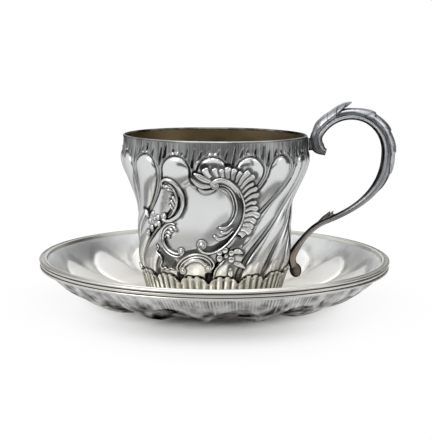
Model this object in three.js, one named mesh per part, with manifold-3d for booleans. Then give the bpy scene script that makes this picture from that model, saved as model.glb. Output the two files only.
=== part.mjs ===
// A tea cup and its saucer in raised and chased silver, in millimetres, +Z up.
// The origin is the centre of the saucer's flat underside. The handle points along +X and the
// cup's cartouche faces -Y. Angles round the axis are measured from -Y towards +X.
import * as THREE from "three";
import { mergeVertices } from "three/addons/utils/BufferGeometryUtils.js";
import Module from "manifold-3d";

// Shared by the cup and the saucer
const LOBES = 16;
const SOLDER_GAP = 0.2; // between pieces that are soldered together
const SEAT_GAP = 0.3; // between the cup's foot and the saucer's well

// Saucer
const SAUCER_DIAMETER = 145;
const SAUCER_HEIGHT = 18.5;
const SAUCER_SHEET = 1;
const SAUCER_FLAT_RADIUS = 38; // of the flat underside, and of the well above it
const SAUCER_LIP_HEIGHT = 2.4; // of the upright edge that the rim wire clasps
const SAUCER_BOWL_POWER = 2.5; // how late the dish turns up towards its rim
const SAUCER_LOBE_RISE = 1.5;
const SAUCER_LOBE_SHARE = 0.37; // half width of a lobe, as a share of the pitch
const SAUCER_LOBE_MARGIN = 13.5; // from where the lobes' round ends start to the edge
const SAUCER_LOBE_FADE = 9; // length over which a lobe rises from the well
const SAUCER_LOBE_ANGLE = 7.8; // degrees, centre of the first lobe
const RIM_WIRE_WIDTH = 2; // of the moulded wire, outside the saucer's edge
const RIM_WIRE_DROP = 4; // of the moulded wire, from its top to its lower edge
const RIM_WIRE_LIP = 1; // thickness of the part that laps over the saucer's edge

// Cup wall, with heights above the cup's foot
const CUP_HEIGHT = 67.4;
const CUP_SHEET = 1;
const FOOT_RADIUS = 25.6;
const BELLY_RADIUS = 30.5;
const BELLY_HEIGHT = 18.7;
const BELLY_POWER = 1.3; // how round the wall turns in below the belly
const WAIST_RADIUS = 30.8;
const WAIST_HEIGHT = 36.5;
const SHOULDER_RADIUS = 38;
const SHOULDER_HEIGHT = 59.3;
const LIP_RADIUS = 37.7;
const LIP_WIRE = 0.9; // diameter of the half-round wire on the lip
const BASE_DISC_HEIGHT = 1.2; // of its underside above the foot
const BASE_DISC_THICKNESS = 1;

// Spiral lobes of the cup
const LOBE_RISE = 1.3;
const LOBE_SHARE = 0.42; // half width of a lobe, as a share of the pitch
const LOBE_ANGLE = -1.5; // degrees, centre of the first lobe at the shoulder
const LOBE_ARCH_HEIGHT = 55.2; // where the round tops start
const LOBE_ARCH_RISE = 6;
const TWIST = 59; // degrees, from top to bottom
const TWIST_TOP = 55.7;
const TWIST_BOTTOM = 11.7;
const LOBE_SWELL = 3; // height over which a lobe swells out above the foot collar

// Foot collar
const COLLAR_CREST = 13.7;
const COLLAR_NOTCH = 11.4;
const COLLAR_SHEET = 0.6;
const COLLAR_FLUTE_DEPTH = 0.6;
const FLUTES_PER_LOBE = 3;

// Cartouche, laid out in the unrolled plane of the wall: x along the wall, y up, from its centre
const CARTOUCHE_ANGLE = -5; // degrees
const CARTOUCHE_HEIGHT = 36.7;
const FIELD_WIDTH = 36; // of the smooth ground that interrupts the lobes
const FIELD_HEIGHT = 41;
const FIELD_RISE = 1.1;
const RIB = 1.9; // thickness of a scroll
const BULB = 3; // diameter of a scroll's end
const RIB_LIFT = 0.2; // how far a rib's middle stands above the field, as a share of its thickness
const DROP_LIFT = 0.125; // the same for a flute or a petal
const SHELL_FLUTES = 14;
const SHELL_FLUTE_LENGTH = 5.6;
const SHELL_FLUTE_WIDTH = 2.1;
const SHELL_START = 0.04; // share of the large scroll's length where the flutes start
const SHELL_END = 0.7;
const SHELL_TAPER = 0.55; // how long the flutes still are at the scroll's end, as a share
const PETALS = 5;
const PETAL = 2.6; // length of a petal
const PETAL_BREADTH = 1.8;
const PETAL_REACH = 1.4; // from the flower's heart to a petal's middle

// Handle, with heights above the cup's foot
const HANDLE_LOOP_RADIUS = 15.4; // of the round upper part
const HANDLE_LOOP_HEIGHT = 60.6; // of its centre
const HANDLE_CURL_RADIUS = 5.2; // of the curl at the upper joint
const HANDLE_JOIN = 152; // degrees, where the curl runs into the loop
const HANDLE_CURL_END = 271; // degrees, where the curl ends
const HANDLE_LOOP_END = 2; // degrees, where the loop runs into the lower branch
const HANDLE_BEND_INSET = 9.5; // from the loop's centre to where the lower branch bends back
const HANDLE_BEND_HEIGHT = 31.4;
const HANDLE_BEND_SLOPE = 21.4; // degrees below the level there
const HANDLE_FOOT_HEIGHT = 17.4; // where the lower branch reaches the wall
const HANDLE_FOOT_LENGTH = 6.8; // of its end below there
const HANDLE_FOOT_KICK = 1.2; // of its end away from the wall
const BRANCH_LEAVE = 1.06; // how far the lower branch follows the loop, as a share of its radius
const BRANCH_INTO = 0.86; // how far it runs straight before the bend, as a share of that radius
const BRANCH_ONWARD = 0.49; // and after the bend
const BRANCH_LEAN = 2.2; // how far it leans out above its foot
const HANDLE_TIP_DEPTH = 2; // in the plane of the loop, at the curl's free end
const HANDLE_CURL_DEPTH = 5.8; // where the curl is deepest
const HANDLE_CURL_PEAK = 0.4; // share of the curl's length at which that is
const HANDLE_TOP_DEPTH = 3.7;
const HANDLE_TOP_WIDTH = 6.6; // across the loop's plane
const HANDLE_TIP_WIDTH = 4.4;
const HANDLE_LOW_DEPTH = 2.3;
const HANDLE_LOW_WIDTH = 4;
const HANDLE_FOOT_DEPTH = 3.4;
const HANDLE_END_DEPTH = 4.6; // of the bulb at the handle's foot
const BUD_LENGTH = 5; // of the leaf bud on the lower branch
const BUD_WIDTH = 3;
const BUD_RISE = 1.9; // above the branch
const HANDLE_PAD_DROP = 2; // of the pad's middle below the curl's centre
const HANDLE_PAD_HEIGHT = 5.4;
const HANDLE_PAD_WIDTH = 6;
const HANDLE_PAD_THICKNESS = 0.5;
const LEAF_WIDTH = 6;
const LEAF_SHEET = 0.4; // thickness of a leaf beside its midrib
const LEAF_RISE = 0.8; // thickness of a leaf at its midrib
const LEAF_SERRATION = 0.7; // depth of the notches along its edges
const THUMB_TIP_RISE = 2.4; // of the thumb leaf's free tip above the handle
const THUMB_TIP_ANGLE = 90; // degrees round the loop
const THUMB_TEETH = 4; // along each edge of the thumb leaf
const LEAF_SPACING = 1.2; // between the two leaves, along the handle
const LEAF_RUN = 17; // of the long leaf below the loop
const LEAF_TEETH = 7; // along each edge of the long leaf
const LEAF_BASE = 0.12; // where a leaf starts and ends on the half wave that shapes its width
const LEAF_TIP = 0.95;
const LEAF_UNDERCUT = 0.9; // width of a leaf's underside, as a share of its face

// Facets
const CUP_COLUMNS = LOBES * 6;
const SAUCER_COLUMNS = LOBES * 6;
const WALL_ROWS = 7; // along the lobes, outside
const INNER_WALL_ROWS = 4;
const ARCH_ROWS = 3; // over the lobes' round tops
const DISH_ROWS = 7;
const COLUMN_CROWD = 0.48; // how far columns crowd towards the grooves
const ROUND_COLUMNS = 48;
const BAR_RINGS = 32;
const BEAD_MESH = [6, 4]; // sides and rows of a small round ornament
const DROP_MESH = [5, 3];
const KNOB_MESH = [10, 8];
const RIB_STEP = 3.6; // mm between the rings along a rib
const HALF_ROUND_STEPS = 3; // round half of a rib's section
const PAD_STEPS = 4; // round the pad's bend
const LEAF_TOOTH_RINGS = 3; // for each tooth of a leaf's edge
const WELD = 1e-4; // vertices nearer than this are one

const { lerp, smoothstep, degToRad } = THREE.MathUtils;
const TURN = 2 * Math.PI;
const PITCH = TURN / LOBES;
const SILVER = { color: 0xcfcfcd, roughness: 0.24, metalness: 1 };
const DARK_SILVER = { color: 0x8e8e8d, roughness: 0.32, metalness: 1 };
const GILT_SILVER = { color: 0xb39a66, roughness: 0.35, metalness: 1 };

const wasm = await Module();
wasm.setup();

// Solids and meshes

function toSolid(geometry) {
  const bare = geometry.clone();
  bare.deleteAttribute("normal");
  bare.deleteAttribute("uv");
  const merged = mergeVertices(bare, WELD);
  const vertProperties = merged.attributes.position.array;
  const triVerts = new Uint32Array(merged.index.array);
  return new wasm.Manifold(new wasm.Mesh({ numProp: 3, vertProperties, triVerts }));
}

function toGeometry(solid) {
  const { vertProperties, triVerts } = solid.getMesh();
  const geometry = new THREE.BufferGeometry();
  geometry.setAttribute("position", new THREE.BufferAttribute(vertProperties, 3));
  geometry.setIndex(new THREE.BufferAttribute(triVerts, 1));
  geometry.computeVertexNormals();
  return geometry;
}

function joined(geometries) {
  return geometries.map(toSolid).reduce((whole, solid) => whole.add(solid));
}

// The largest shell of a solid, so that a void sealed under an ornament is filled.
function filled(solid) {
  return solid.decompose().reduce((a, b) => (a.volume() > b.volume() ? a : b));
}

function piece(name, geometry, finish) {
  const mesh = new THREE.Mesh(geometry, new THREE.MeshStandardMaterial(finish));
  mesh.name = name;
  return mesh;
}

// Turned and chased shapes

function revolve(profile, columns) {
  return new THREE.LatheGeometry(profile, columns).rotateX(Math.PI / 2);
}

// The closed profile of a sheet whose outer side is the line, with its other side to the line's left.
function sheetProfile(line, thickness, innerLine = line) {
  const inner = innerLine.map((point, i) => {
    const before = innerLine[Math.max(i - 1, 0)];
    const after = innerLine[Math.min(i + 1, innerLine.length - 1)];
    const along = after.clone().sub(before).normalize();
    const left = new THREE.Vector2(-along.y, along.x);
    return point.clone().addScaledVector(left, thickness);
  });
  return [...line, ...inner.reverse(), line[0].clone()];
}

// Moves each vertex of a turned shape to the angle, radius and height that place gives it.
function chase(geometry, place) {
  const position = geometry.attributes.position;
  for (let i = 0; i < position.count; i++) {
    const [x, y, z] = [position.getX(i), position.getY(i), position.getZ(i)];
    const [angle, radius, height] = place(Math.atan2(x, -y), Math.hypot(x, y), z);
    position.setXYZ(i, radius * Math.sin(angle), -radius * Math.cos(angle), height);
  }
  geometry.computeVertexNormals();
  return geometry;
}

// Where an angle falls in its lobe, from -0.5 at one groove to 0.5 at the next, with the mesh
// columns crowded towards the grooves, and the angle that goes with it.
function lobePhase(angle) {
  const turns = angle / PITCH;
  const middle = Math.round(turns);
  const even = turns - middle;
  const phase = even + (COLUMN_CROWD * Math.sin(TURN * even)) / TURN;
  return { phase, angle: (middle + phase) * PITCH };
}

// Half-round swell of a lobe: 1 along its middle, 0 at its edge, and rounded off past its end.
// The places across it and past its end are shares of its half width and of its end's length.
function lobeSwell(across, pastEnd) {
  return Math.sqrt(Math.max(0, 1 - across ** 2 - Math.max(0, pastEnd) ** 2));
}

function spaced(from, to, count) {
  return Array.from({ length: count }, (_, i) => lerp(from, to, i / (count - 1)));
}

// Saucer

const saucerRadius = SAUCER_DIAMETER / 2;
const dishEdgeRadius = saucerRadius - RIM_WIRE_WIDTH;
const dishTop = SAUCER_HEIGHT - RIM_WIRE_LIP - SOLDER_GAP;
const dishTurn = dishTop - SAUCER_LIP_HEIGHT; // height where the dish turns upright
const saucerLobeTurn = dishEdgeRadius - SAUCER_LOBE_MARGIN; // where the round ends start

function dishHeight(radius) {
  const out = (radius - SAUCER_FLAT_RADIUS) / (dishEdgeRadius - SAUCER_FLAT_RADIUS);
  return dishTurn * Math.max(0, out) ** SAUCER_BOWL_POWER;
}

function saucerRelief(phase, radius) {
  const across = (phase / SAUCER_LOBE_SHARE) * Math.max(1, radius / saucerLobeTurn);
  const pastEnd = (radius - saucerLobeTurn) / (SAUCER_LOBE_SHARE * PITCH * saucerLobeTurn);
  const fade = smoothstep(radius, SAUCER_FLAT_RADIUS, SAUCER_FLAT_RADIUS + SAUCER_LOBE_FADE);
  return SAUCER_LOBE_RISE * fade * lobeSwell(across, pastEnd);
}

function makeSaucerDish() {
  const bowl = spaced(SAUCER_FLAT_RADIUS, dishEdgeRadius, DISH_ROWS);
  const line = bowl.map((radius) => new THREE.Vector2(radius, dishHeight(radius)));
  line.unshift(new THREE.Vector2(0, 0));
  line.push(new THREE.Vector2(dishEdgeRadius, dishTop));
  const profile = sheetProfile(line, SAUCER_SHEET);
  profile.pop();
  const top = profile.length - 1;
  profile[top] = new THREE.Vector2(0, SAUCER_SHEET);
  const start = degToRad(SAUCER_LOBE_ANGLE);
  return chase(revolve(profile, SAUCER_COLUMNS), (turned, radius, height) => {
    const { phase, angle } = lobePhase(turned);
    return [angle + start, radius, height + saucerRelief(phase, radius)];
  });
}

// A moulded wire with a bead, a fillet and a band, hooked over the saucer's upright edge.
function makeSaucerRimWire() {
  const clasp = dishEdgeRadius + SOLDER_GAP;
  const lipInside = dishEdgeRadius - SAUCER_SHEET - SOLDER_GAP;
  const lipUnder = SAUCER_HEIGHT - RIM_WIRE_LIP;
  const bottom = SAUCER_HEIGHT - RIM_WIRE_DROP;
  const out = (share) => lerp(clasp, saucerRadius, share);
  const up = (share) => lerp(bottom, SAUCER_HEIGHT, share);
  const profile = [
    [clasp, up(0)],
    [out(0.75), up(0.05)],
    [out(0.9), up(0.22)],
    [out(0.7), up(0.44)],
    [out(0.95), up(0.56)],
    [out(0.75), up(0.68)],
    [out(1), up(0.84)],
    [out(0.6), up(1)],
    [lipInside, up(0.94)],
    [lipInside, lipUnder],
    [clasp, lipUnder],
    [clasp, up(0)],
  ].map(([radius, height]) => new THREE.Vector2(radius, height));
  return revolve(profile, ROUND_COLUMNS);
}

// Cup wall

const wallTop = CUP_HEIGHT - LIP_WIRE - SOLDER_GAP;
const lobeStart = degToRad(LOBE_ANGLE);
const cartoucheAngle = degToRad(CARTOUCHE_ANGLE);

function wallRadius(height) {
  if (height < BELLY_HEIGHT) {
    const round = 1 - (1 - Math.max(0, height) / BELLY_HEIGHT) ** BELLY_POWER;
    return lerp(FOOT_RADIUS, BELLY_RADIUS, round);
  }
  if (height < WAIST_HEIGHT) {
    return lerp(BELLY_RADIUS, WAIST_RADIUS, smoothstep(height, BELLY_HEIGHT, WAIST_HEIGHT));
  }
  if (height < SHOULDER_HEIGHT) {
    return lerp(WAIST_RADIUS, SHOULDER_RADIUS, smoothstep(height, WAIST_HEIGHT, SHOULDER_HEIGHT));
  }
  return lerp(SHOULDER_RADIUS, LIP_RADIUS, smoothstep(height, SHOULDER_HEIGHT, CUP_HEIGHT));
}

const cartoucheRadius = wallRadius(CARTOUCHE_HEIGHT) + FIELD_RISE;

function twistAt(height) {
  return -degToRad(TWIST) * (1 - smoothstep(height, TWIST_BOTTOM, TWIST_TOP));
}

// 1 on the smooth ground of the cartouche, 0 among the lobes.
function fieldShare(angle, height) {
  const turn = Math.atan2(Math.sin(angle - cartoucheAngle), Math.cos(angle - cartoucheAngle));
  const x = (turn * cartoucheRadius) / (FIELD_WIDTH / 2);
  const y = (height - CARTOUCHE_HEIGHT) / (FIELD_HEIGHT / 2);
  return 1 - smoothstep(Math.hypot(x, y), 0.8, 1);
}

function wallRelief(phase, angle, height) {
  const pastEnd = (height - LOBE_ARCH_HEIGHT) / LOBE_ARCH_RISE;
  const swell = smoothstep(height, COLLAR_CREST, COLLAR_CREST + LOBE_SWELL);
  const lobe = LOBE_RISE * swell * lobeSwell(phase / LOBE_SHARE, pastEnd);
  return lerp(lobe, FIELD_RISE * swell, fieldShare(angle, height));
}

function chaseWall(geometry) {
  return chase(geometry, (turned, radius, height) => {
    const { phase, angle } = lobePhase(turned);
    const twisted = angle + lobeStart + twistAt(height);
    return [twisted, radius + wallRelief(phase, twisted, height), height];
  });
}

function wallLine(heights, offset) {
  return heights.map((height) => new THREE.Vector2(wallRadius(height) + offset, height));
}

function wallHeights(rows) {
  const archTop = LOBE_ARCH_HEIGHT + LOBE_ARCH_RISE;
  const swellTop = COLLAR_CREST + LOBE_SWELL;
  const body = spaced(swellTop, LOBE_ARCH_HEIGHT, rows);
  const turns = spaced(0, Math.PI / 2, ARCH_ROWS).slice(1);
  const arch = turns.map((turn) => lerp(LOBE_ARCH_HEIGHT, archTop, Math.sin(turn)));
  return [0, COLLAR_NOTCH / 2, COLLAR_CREST, ...body, ...arch, wallTop];
}

// The whole space inside the wall's outer face plus an offset, to cut what is fitted to the wall.
function wallEnvelope(offset) {
  const line = wallLine(wallHeights(WALL_ROWS), offset);
  const profile = [new THREE.Vector2(0, 0), ...line, new THREE.Vector2(0, wallTop)];
  return toSolid(chaseWall(revolve(profile, CUP_COLUMNS)));
}

function makeCupWall() {
  const outer = wallLine(wallHeights(WALL_ROWS), 0);
  const inner = wallLine(wallHeights(INNER_WALL_ROWS), 0);
  const profile = sheetProfile(outer, CUP_SHEET, inner);
  const wall = toSolid(chaseWall(revolve(profile, CUP_COLUMNS)));
  return toGeometry(filled(wall.add(joined(makeCartouche()))));
}

// Cartouche

function onCartouche(x, y, lift) {
  const height = CARTOUCHE_HEIGHT + y;
  const angle = cartoucheAngle + x / cartoucheRadius;
  const radius = wallRadius(height) + FIELD_RISE + lift;
  return new THREE.Vector3(radius * Math.sin(angle), -radius * Math.cos(angle), height);
}

// A round rib along points of the unrolled plane, with a bulb at each end that has one.
function makeScroll(points, bulbs) {
  const flat = new THREE.SplineCurve(points.map(([x, y]) => new THREE.Vector2(x, y)));
  const steps = Math.ceil(flat.getLength() / RIB_STEP);
  const places = flat.getSpacedPoints(steps).map(({ x, y }) => onCartouche(x, y, RIB * RIB_LIFT));
  const extrudePath = new THREE.CatmullRomCurve3(places);
  const section = new THREE.Shape().absarc(0, 0, RIB / 2, 0, TURN);
  const settings = { steps, curveSegments: HALF_ROUND_STEPS, bevelEnabled: false, extrudePath };
  const ends = bulbs.map(([x, y]) => {
    const { x: px, y: py, z: pz } = onCartouche(x, y, BULB * RIB_LIFT);
    return new THREE.SphereGeometry(BULB / 2, ...BEAD_MESH).translate(px, py, pz);
  });
  return [new THREE.ExtrudeGeometry(section, settings), ...ends];
}

// A long drop, half sunk in the wall, pointing along a direction of the unrolled plane.
function makeDrop(x, y, direction, length, width) {
  const here = onCartouche(x, y, width * DROP_LIFT);
  const out = new THREE.Vector3(here.x, here.y, 0).normalize();
  const across = new THREE.Vector3(-out.y, out.x, 0);
  const along = across.clone().multiplyScalar(Math.cos(direction));
  along.z = Math.sin(direction);
  const side = new THREE.Vector3().crossVectors(out, along);
  const frame = new THREE.Matrix4().makeBasis(
    along.multiplyScalar(length / 2),
    side.multiplyScalar(width / 2),
    out.multiplyScalar(width / 2),
  );
  return new THREE.SphereGeometry(1, ...DROP_MESH).applyMatrix4(frame.setPosition(here));
}

function makeFlower(x, y) {
  const petals = spaced(0, TURN, PETALS + 1).slice(1);
  const heart = makeDrop(x, y, 0, PETAL / 2, PETAL / 2);
  const ring = petals.map((angle) => {
    const px = x + PETAL_REACH * Math.cos(angle);
    const py = y + PETAL_REACH * Math.sin(angle);
    return makeDrop(px, py, angle, PETAL, PETAL_BREADTH);
  });
  return [heart, ...ring];
}

// A fan of flutes along the outer side of the large scroll, longest at its top.
function makeShell(points) {
  const scroll = new THREE.SplineCurve(points.map(([x, y]) => new THREE.Vector2(x, y)));
  return spaced(SHELL_START, SHELL_END, SHELL_FLUTES).map((share) => {
    const base = scroll.getPointAt(share);
    const ahead = scroll.getTangentAt(share);
    const outward = Math.atan2(ahead.x, -ahead.y);
    const length = SHELL_FLUTE_LENGTH * lerp(1, SHELL_TAPER, share);
    const reach = length / 2;
    const x = base.x + reach * Math.cos(outward);
    const y = base.y + reach * Math.sin(outward);
    return makeDrop(x, y, outward, length, SHELL_FLUTE_WIDTH);
  });
}

function makeCartouche() {
  const bigScroll = [
    [1.5, 15.1],
    [5, 17.2],
    [10.2, 13.7],
    [13.9, 5],
    [10.6, -7],
    [2.6, -12.8],
    [-2.4, -12.3],
  ];
  const upperScroll = [[-17.3, 13.4], [-12.6, 15.8], [-8.6, 8.5], [-11, 1.4], [-18.4, -1.6]];
  const lowerScroll = [[-12.4, -3.4], [-18.2, -5.2], [-19.6, -11.4], [-15, -15.4], [-10.9, -14.4]];
  const footScroll = [[-12.6, -20.6], [-10.6, -16.8], [-5.4, -14.4], [0.2, -16], [1.8, -19.6]];
  return [
    ...makeScroll(bigScroll, [[3.1, 14.3], [-3, -11]]),
    ...makeScroll(upperScroll, [[-16.6, 12.2], [-18.7, 0.2]]),
    ...makeScroll(lowerScroll, [[-11.6, -4.6], [-10.8, -13.2]]),
    ...makeScroll(footScroll, [[-11.2, -20.6], [0.4, -19.6]]),
    ...makeShell(bigScroll),
    ...makeFlower(7.4, -14.8),
    ...makeFlower(-22.4, -1.6),
  ];
}

// Other pieces of the cup

function makeLipWire() {
  const middle = wallRadius(CUP_HEIGHT) - CUP_SHEET / 2;
  const half = (CUP_SHEET + LIP_WIRE / 2) / 2;
  const bottom = CUP_HEIGHT - LIP_WIRE;
  const profile = [
    [middle - half, bottom],
    [middle + half, bottom],
    [middle + half, bottom + LIP_WIRE / 2],
    [middle, CUP_HEIGHT],
    [middle - half, bottom + LIP_WIRE / 2],
    [middle - half, bottom],
  ].map(([radius, height]) => new THREE.Vector2(radius, height));
  return revolve(profile, ROUND_COLUMNS);
}

function makeBaseDisc() {
  const inside = (height) => wallRadius(height) - CUP_SHEET - SOLDER_GAP * 2;
  const top = BASE_DISC_HEIGHT + BASE_DISC_THICKNESS;
  const profile = [
    new THREE.Vector2(0, BASE_DISC_HEIGHT),
    new THREE.Vector2(inside(BASE_DISC_HEIGHT), BASE_DISC_HEIGHT),
    new THREE.Vector2(inside(BASE_DISC_HEIGHT), top),
    new THREE.Vector2(0, top),
  ];
  return revolve(profile, ROUND_COLUMNS);
}

// A fluted strip round the foot, with a scalloped upper edge whose notches meet the grooves.
function makeFootCollar() {
  const heights = [0, COLLAR_NOTCH];
  const inner = wallLine(heights, SOLDER_GAP * 2);
  const outer = wallLine(heights, SOLDER_GAP * 2 + COLLAR_SHEET);
  const profile = [...outer, ...inner.reverse(), outer[0].clone()];
  const start = lobeStart + twistAt(0);
  return chase(revolve(profile, CUP_COLUMNS), (turned, radius, height) => {
    const { phase } = lobePhase(turned);
    const even = turned / PITCH - Math.round(turned / PITCH);
    const arch = lobeSwell(2 * phase, 0) * (COLLAR_CREST - COLLAR_NOTCH);
    const raised = height + (arch * height) / COLLAR_NOTCH;
    const lean = wallRadius(raised) - wallRadius(height);
    const flute = (COLLAR_FLUTE_DEPTH * (1 + Math.cos(TURN * even * FLUTES_PER_LOBE))) / 2;
    return [turned + start, radius + lean + flute, raised];
  });
}

// Handle

const loopJoin = degToRad(HANDLE_JOIN);
const curlInset = HANDLE_LOOP_RADIUS - HANDLE_CURL_RADIUS; // from the loop's centre to the curl's
const curlHeight = HANDLE_LOOP_HEIGHT + curlInset * Math.sin(loopJoin);
const padMiddle = curlHeight - HANDLE_PAD_DROP;

// How far the lobes' crests stand out from the wall at a height.
function lobeCrest(height) {
  return LOBE_RISE * lobeSwell(0, (height - LOBE_ARCH_HEIGHT) / LOBE_ARCH_RISE);
}

const padFace = wallRadius(padMiddle) + lobeCrest(padMiddle) + SOLDER_GAP + HANDLE_PAD_THICKNESS;
const handleReach = padFace + SOLDER_GAP; // to the handle's nearest side
const curlX = handleReach + HANDLE_CURL_DEPTH / 2 + HANDLE_CURL_RADIUS;
const loopCentre = new THREE.Vector2(curlX - curlInset * Math.cos(loopJoin), HANDLE_LOOP_HEIGHT);
const bendSlope = degToRad(HANDLE_BEND_SLOPE);
const bend = new THREE.Vector2(loopCentre.x - HANDLE_BEND_INSET, HANDLE_BEND_HEIGHT);
const bendFlow = new THREE.Vector2(-Math.cos(bendSlope), -Math.sin(bendSlope));

// The middle line of the handle in its own plane: curl, loop, and a lower branch that bends back.
function makeHandleLine() {
  const turnEnd = degToRad(HANDLE_LOOP_END);
  const line = new THREE.Path();
  line.absarc(curlX, curlHeight, HANDLE_CURL_RADIUS, degToRad(HANDLE_CURL_END), loopJoin, true);
  line.absarc(loopCentre.x, loopCentre.y, HANDLE_LOOP_RADIUS, loopJoin, turnEnd, true);
  const leave = new THREE.Vector2(Math.sin(turnEnd), -Math.cos(turnEnd));
  const from = line.currentPoint.clone().addScaledVector(leave, HANDLE_LOOP_RADIUS * BRANCH_LEAVE);
  const into = bend.clone().addScaledVector(bendFlow, -HANDLE_LOOP_RADIUS * BRANCH_INTO);
  line.bezierCurveTo(from.x, from.y, into.x, into.y, bend.x, bend.y);
  const footX = wallRadius(HANDLE_FOOT_HEIGHT) + LOBE_RISE + HANDLE_LOW_DEPTH / 2;
  const onward = bend.clone().addScaledVector(bendFlow, HANDLE_LOOP_RADIUS * BRANCH_ONWARD);
  const above = new THREE.Vector2(footX + BRANCH_LEAN, HANDLE_FOOT_HEIGHT + BRANCH_LEAN);
  line.bezierCurveTo(onward.x, onward.y, above.x, above.y, footX, HANDLE_FOOT_HEIGHT);
  const turnHeight = HANDLE_FOOT_HEIGHT - HANDLE_FOOT_LENGTH / 2;
  const endHeight = HANDLE_FOOT_HEIGHT - HANDLE_FOOT_LENGTH;
  line.quadraticCurveTo(footX, turnHeight, footX + HANDLE_FOOT_KICK, endHeight);
  return line;
}

const handleLine = makeHandleLine();
const handleLength = handleLine.getLength();
const curlLength = HANDLE_CURL_RADIUS * degToRad(HANDLE_CURL_END - HANDLE_JOIN);
const loopLength = HANDLE_LOOP_RADIUS * degToRad(HANDLE_JOIN - HANDLE_LOOP_END);
const loopStart = curlLength / handleLength;
const loopEnd = (curlLength + loopLength) / handleLength;
const footStart = 1 - HANDLE_FOOT_LENGTH / handleLength;

// Depth and width of the bar at a share of the handle's length.
function barSize(share) {
  const peak = loopStart * HANDLE_CURL_PEAK;
  const swell = smoothstep(share, 0, peak);
  const curl = lerp(HANDLE_TIP_DEPTH, HANDLE_CURL_DEPTH, swell);
  const upper = lerp(curl, HANDLE_TOP_DEPTH, smoothstep(share, peak, loopStart));
  const slim = smoothstep(share, loopEnd, (loopEnd + 1) / 2);
  const lower = lerp(upper, HANDLE_LOW_DEPTH, slim);
  const foot = smoothstep(share, footStart - HANDLE_FOOT_LENGTH / handleLength, footStart);
  const width = lerp(lerp(HANDLE_TIP_WIDTH, HANDLE_TOP_WIDTH, swell), HANDLE_LOW_WIDTH, slim);
  return { depth: lerp(lower, HANDLE_FOOT_DEPTH, foot), width };
}

// A point beside the middle line: across the loop's plane, and outward from it.
function besideHandle(share, across, outward) {
  const middle = handleLine.getPointAt(share);
  const ahead = handleLine.getTangentAt(share);
  return new THREE.Vector3(middle.x - ahead.y * outward, across, middle.y + ahead.x * outward);
}

// A closed body through rings with as many points each.
function loft(rings) {
  const count = rings[0].length;
  const centre = (ring) => ring.reduce((sum, p) => sum.add(p), new THREE.Vector3()).divideScalar(count);
  const points = [...rings.flat(), centre(rings[0]), centre(rings.at(-1))];
  const [first, last] = [points.length - 2, points.length - 1];
  const index = [];
  rings.forEach((_, row) => {
    for (let i = 0; i < count; i++) {
      const j = (i + 1) % count;
      const [a, b] = [row * count + i, row * count + j];
      if (row === 0) index.push(first, a, b);
      if (row === rings.length - 1) index.push(last, b, a);
      else index.push(a, b + count, b, a, a + count, b + count);
    }
  });
  return new THREE.BufferGeometry().setFromPoints(points).setIndex(index);
}

// Half of the bar's section, as shares of its width and depth: crown, shoulder and edge of its
// rounded back, the rib along its edge, and the hollow along its inner side.
const CROWN = [0, 0.5];
const SHOULDER = [0.3, 0.42];
const EDGE = [0.5, 0.1];
const EDGE_RIB = [0.46, -0.4];
const HOLLOW = [0.2, -0.28];

function makeBar(grow) {
  const mirrored = ([across, outward]) => [-across, outward];
  const half = [SHOULDER, EDGE, EDGE_RIB, HOLLOW];
  const section = [CROWN, ...half, ...half.map(mirrored).reverse()];
  const rings = spaced(0, 1, BAR_RINGS).map((share) => {
    const { depth, width } = barSize(share);
    const place = ([across, outward]) =>
      besideHandle(share, across * (width + 2 * grow), outward * (depth + 2 * grow));
    return section.map(place);
  });
  return toSolid(loft(rings));
}

// How far the bar's back stands out from its middle line at a place across it.
function barBack(share, across) {
  const { depth, width } = barSize(share);
  const side = across / width;
  const [inner, outer] = side < SHOULDER[0] ? [CROWN, SHOULDER] : [SHOULDER, EDGE];
  return depth * lerp(inner[1], outer[1], (side - inner[0]) / (outer[0] - inner[0]));
}

// A leaf over the bar's back, with serrated edges, a midrib, and a tip that may lift.
function makeLeaf(from, to, teeth, tipRise) {
  const rings = spaced(0, 1, teeth * LEAF_TOOTH_RINGS + 1).map((along) => {
    const share = lerp(from, to, along);
    const tooth = 1 - ((along * teeth) % 1);
    const taper = Math.sqrt(Math.sin(Math.PI * lerp(LEAF_BASE, LEAF_TIP, along)));
    const half = Math.max(LEAF_SHEET, (LEAF_WIDTH / 2) * taper - LEAF_SERRATION * tooth);
    const lift = tipRise * smoothstep(along, 1 / 2, 1);
    const place = (side, rise) =>
      besideHandle(share, side * half, barBack(share, Math.abs(side) * half) + lift + rise);
    return [
      place(0, SOLDER_GAP + LEAF_RISE),
      place(1 / 2, SOLDER_GAP + LEAF_SHEET),
      place(1, SOLDER_GAP + LEAF_SHEET),
      place(LEAF_UNDERCUT, -LEAF_SHEET),
      place(-LEAF_UNDERCUT, -LEAF_SHEET),
      place(-1, SOLDER_GAP + LEAF_SHEET),
      place(-1 / 2, SOLDER_GAP + LEAF_SHEET),
    ];
  });
  return toGeometry(toSolid(loft(rings)).subtract(makeBar(SOLDER_GAP)));
}

// A small plate bent to the wall, between the wall and the handle's upper curl.
function makeUpperPad() {
  const inside = padFace - HANDLE_PAD_THICKNESS;
  const half = HANDLE_PAD_WIDTH / 2 / inside;
  const outline = new THREE.Shape();
  outline.absarc(0, 0, padFace, -half, half, false);
  outline.absarc(0, 0, inside - CUP_SHEET, half, -half, true);
  const settings = { depth: HANDLE_PAD_HEIGHT, curveSegments: PAD_STEPS, bevelEnabled: false };
  const plate = new THREE.ExtrudeGeometry(outline, settings);
  plate.translate(0, 0, padMiddle - HANDLE_PAD_HEIGHT / 2);
  return toGeometry(toSolid(plate).subtract(wallEnvelope(SOLDER_GAP)));
}

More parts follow.
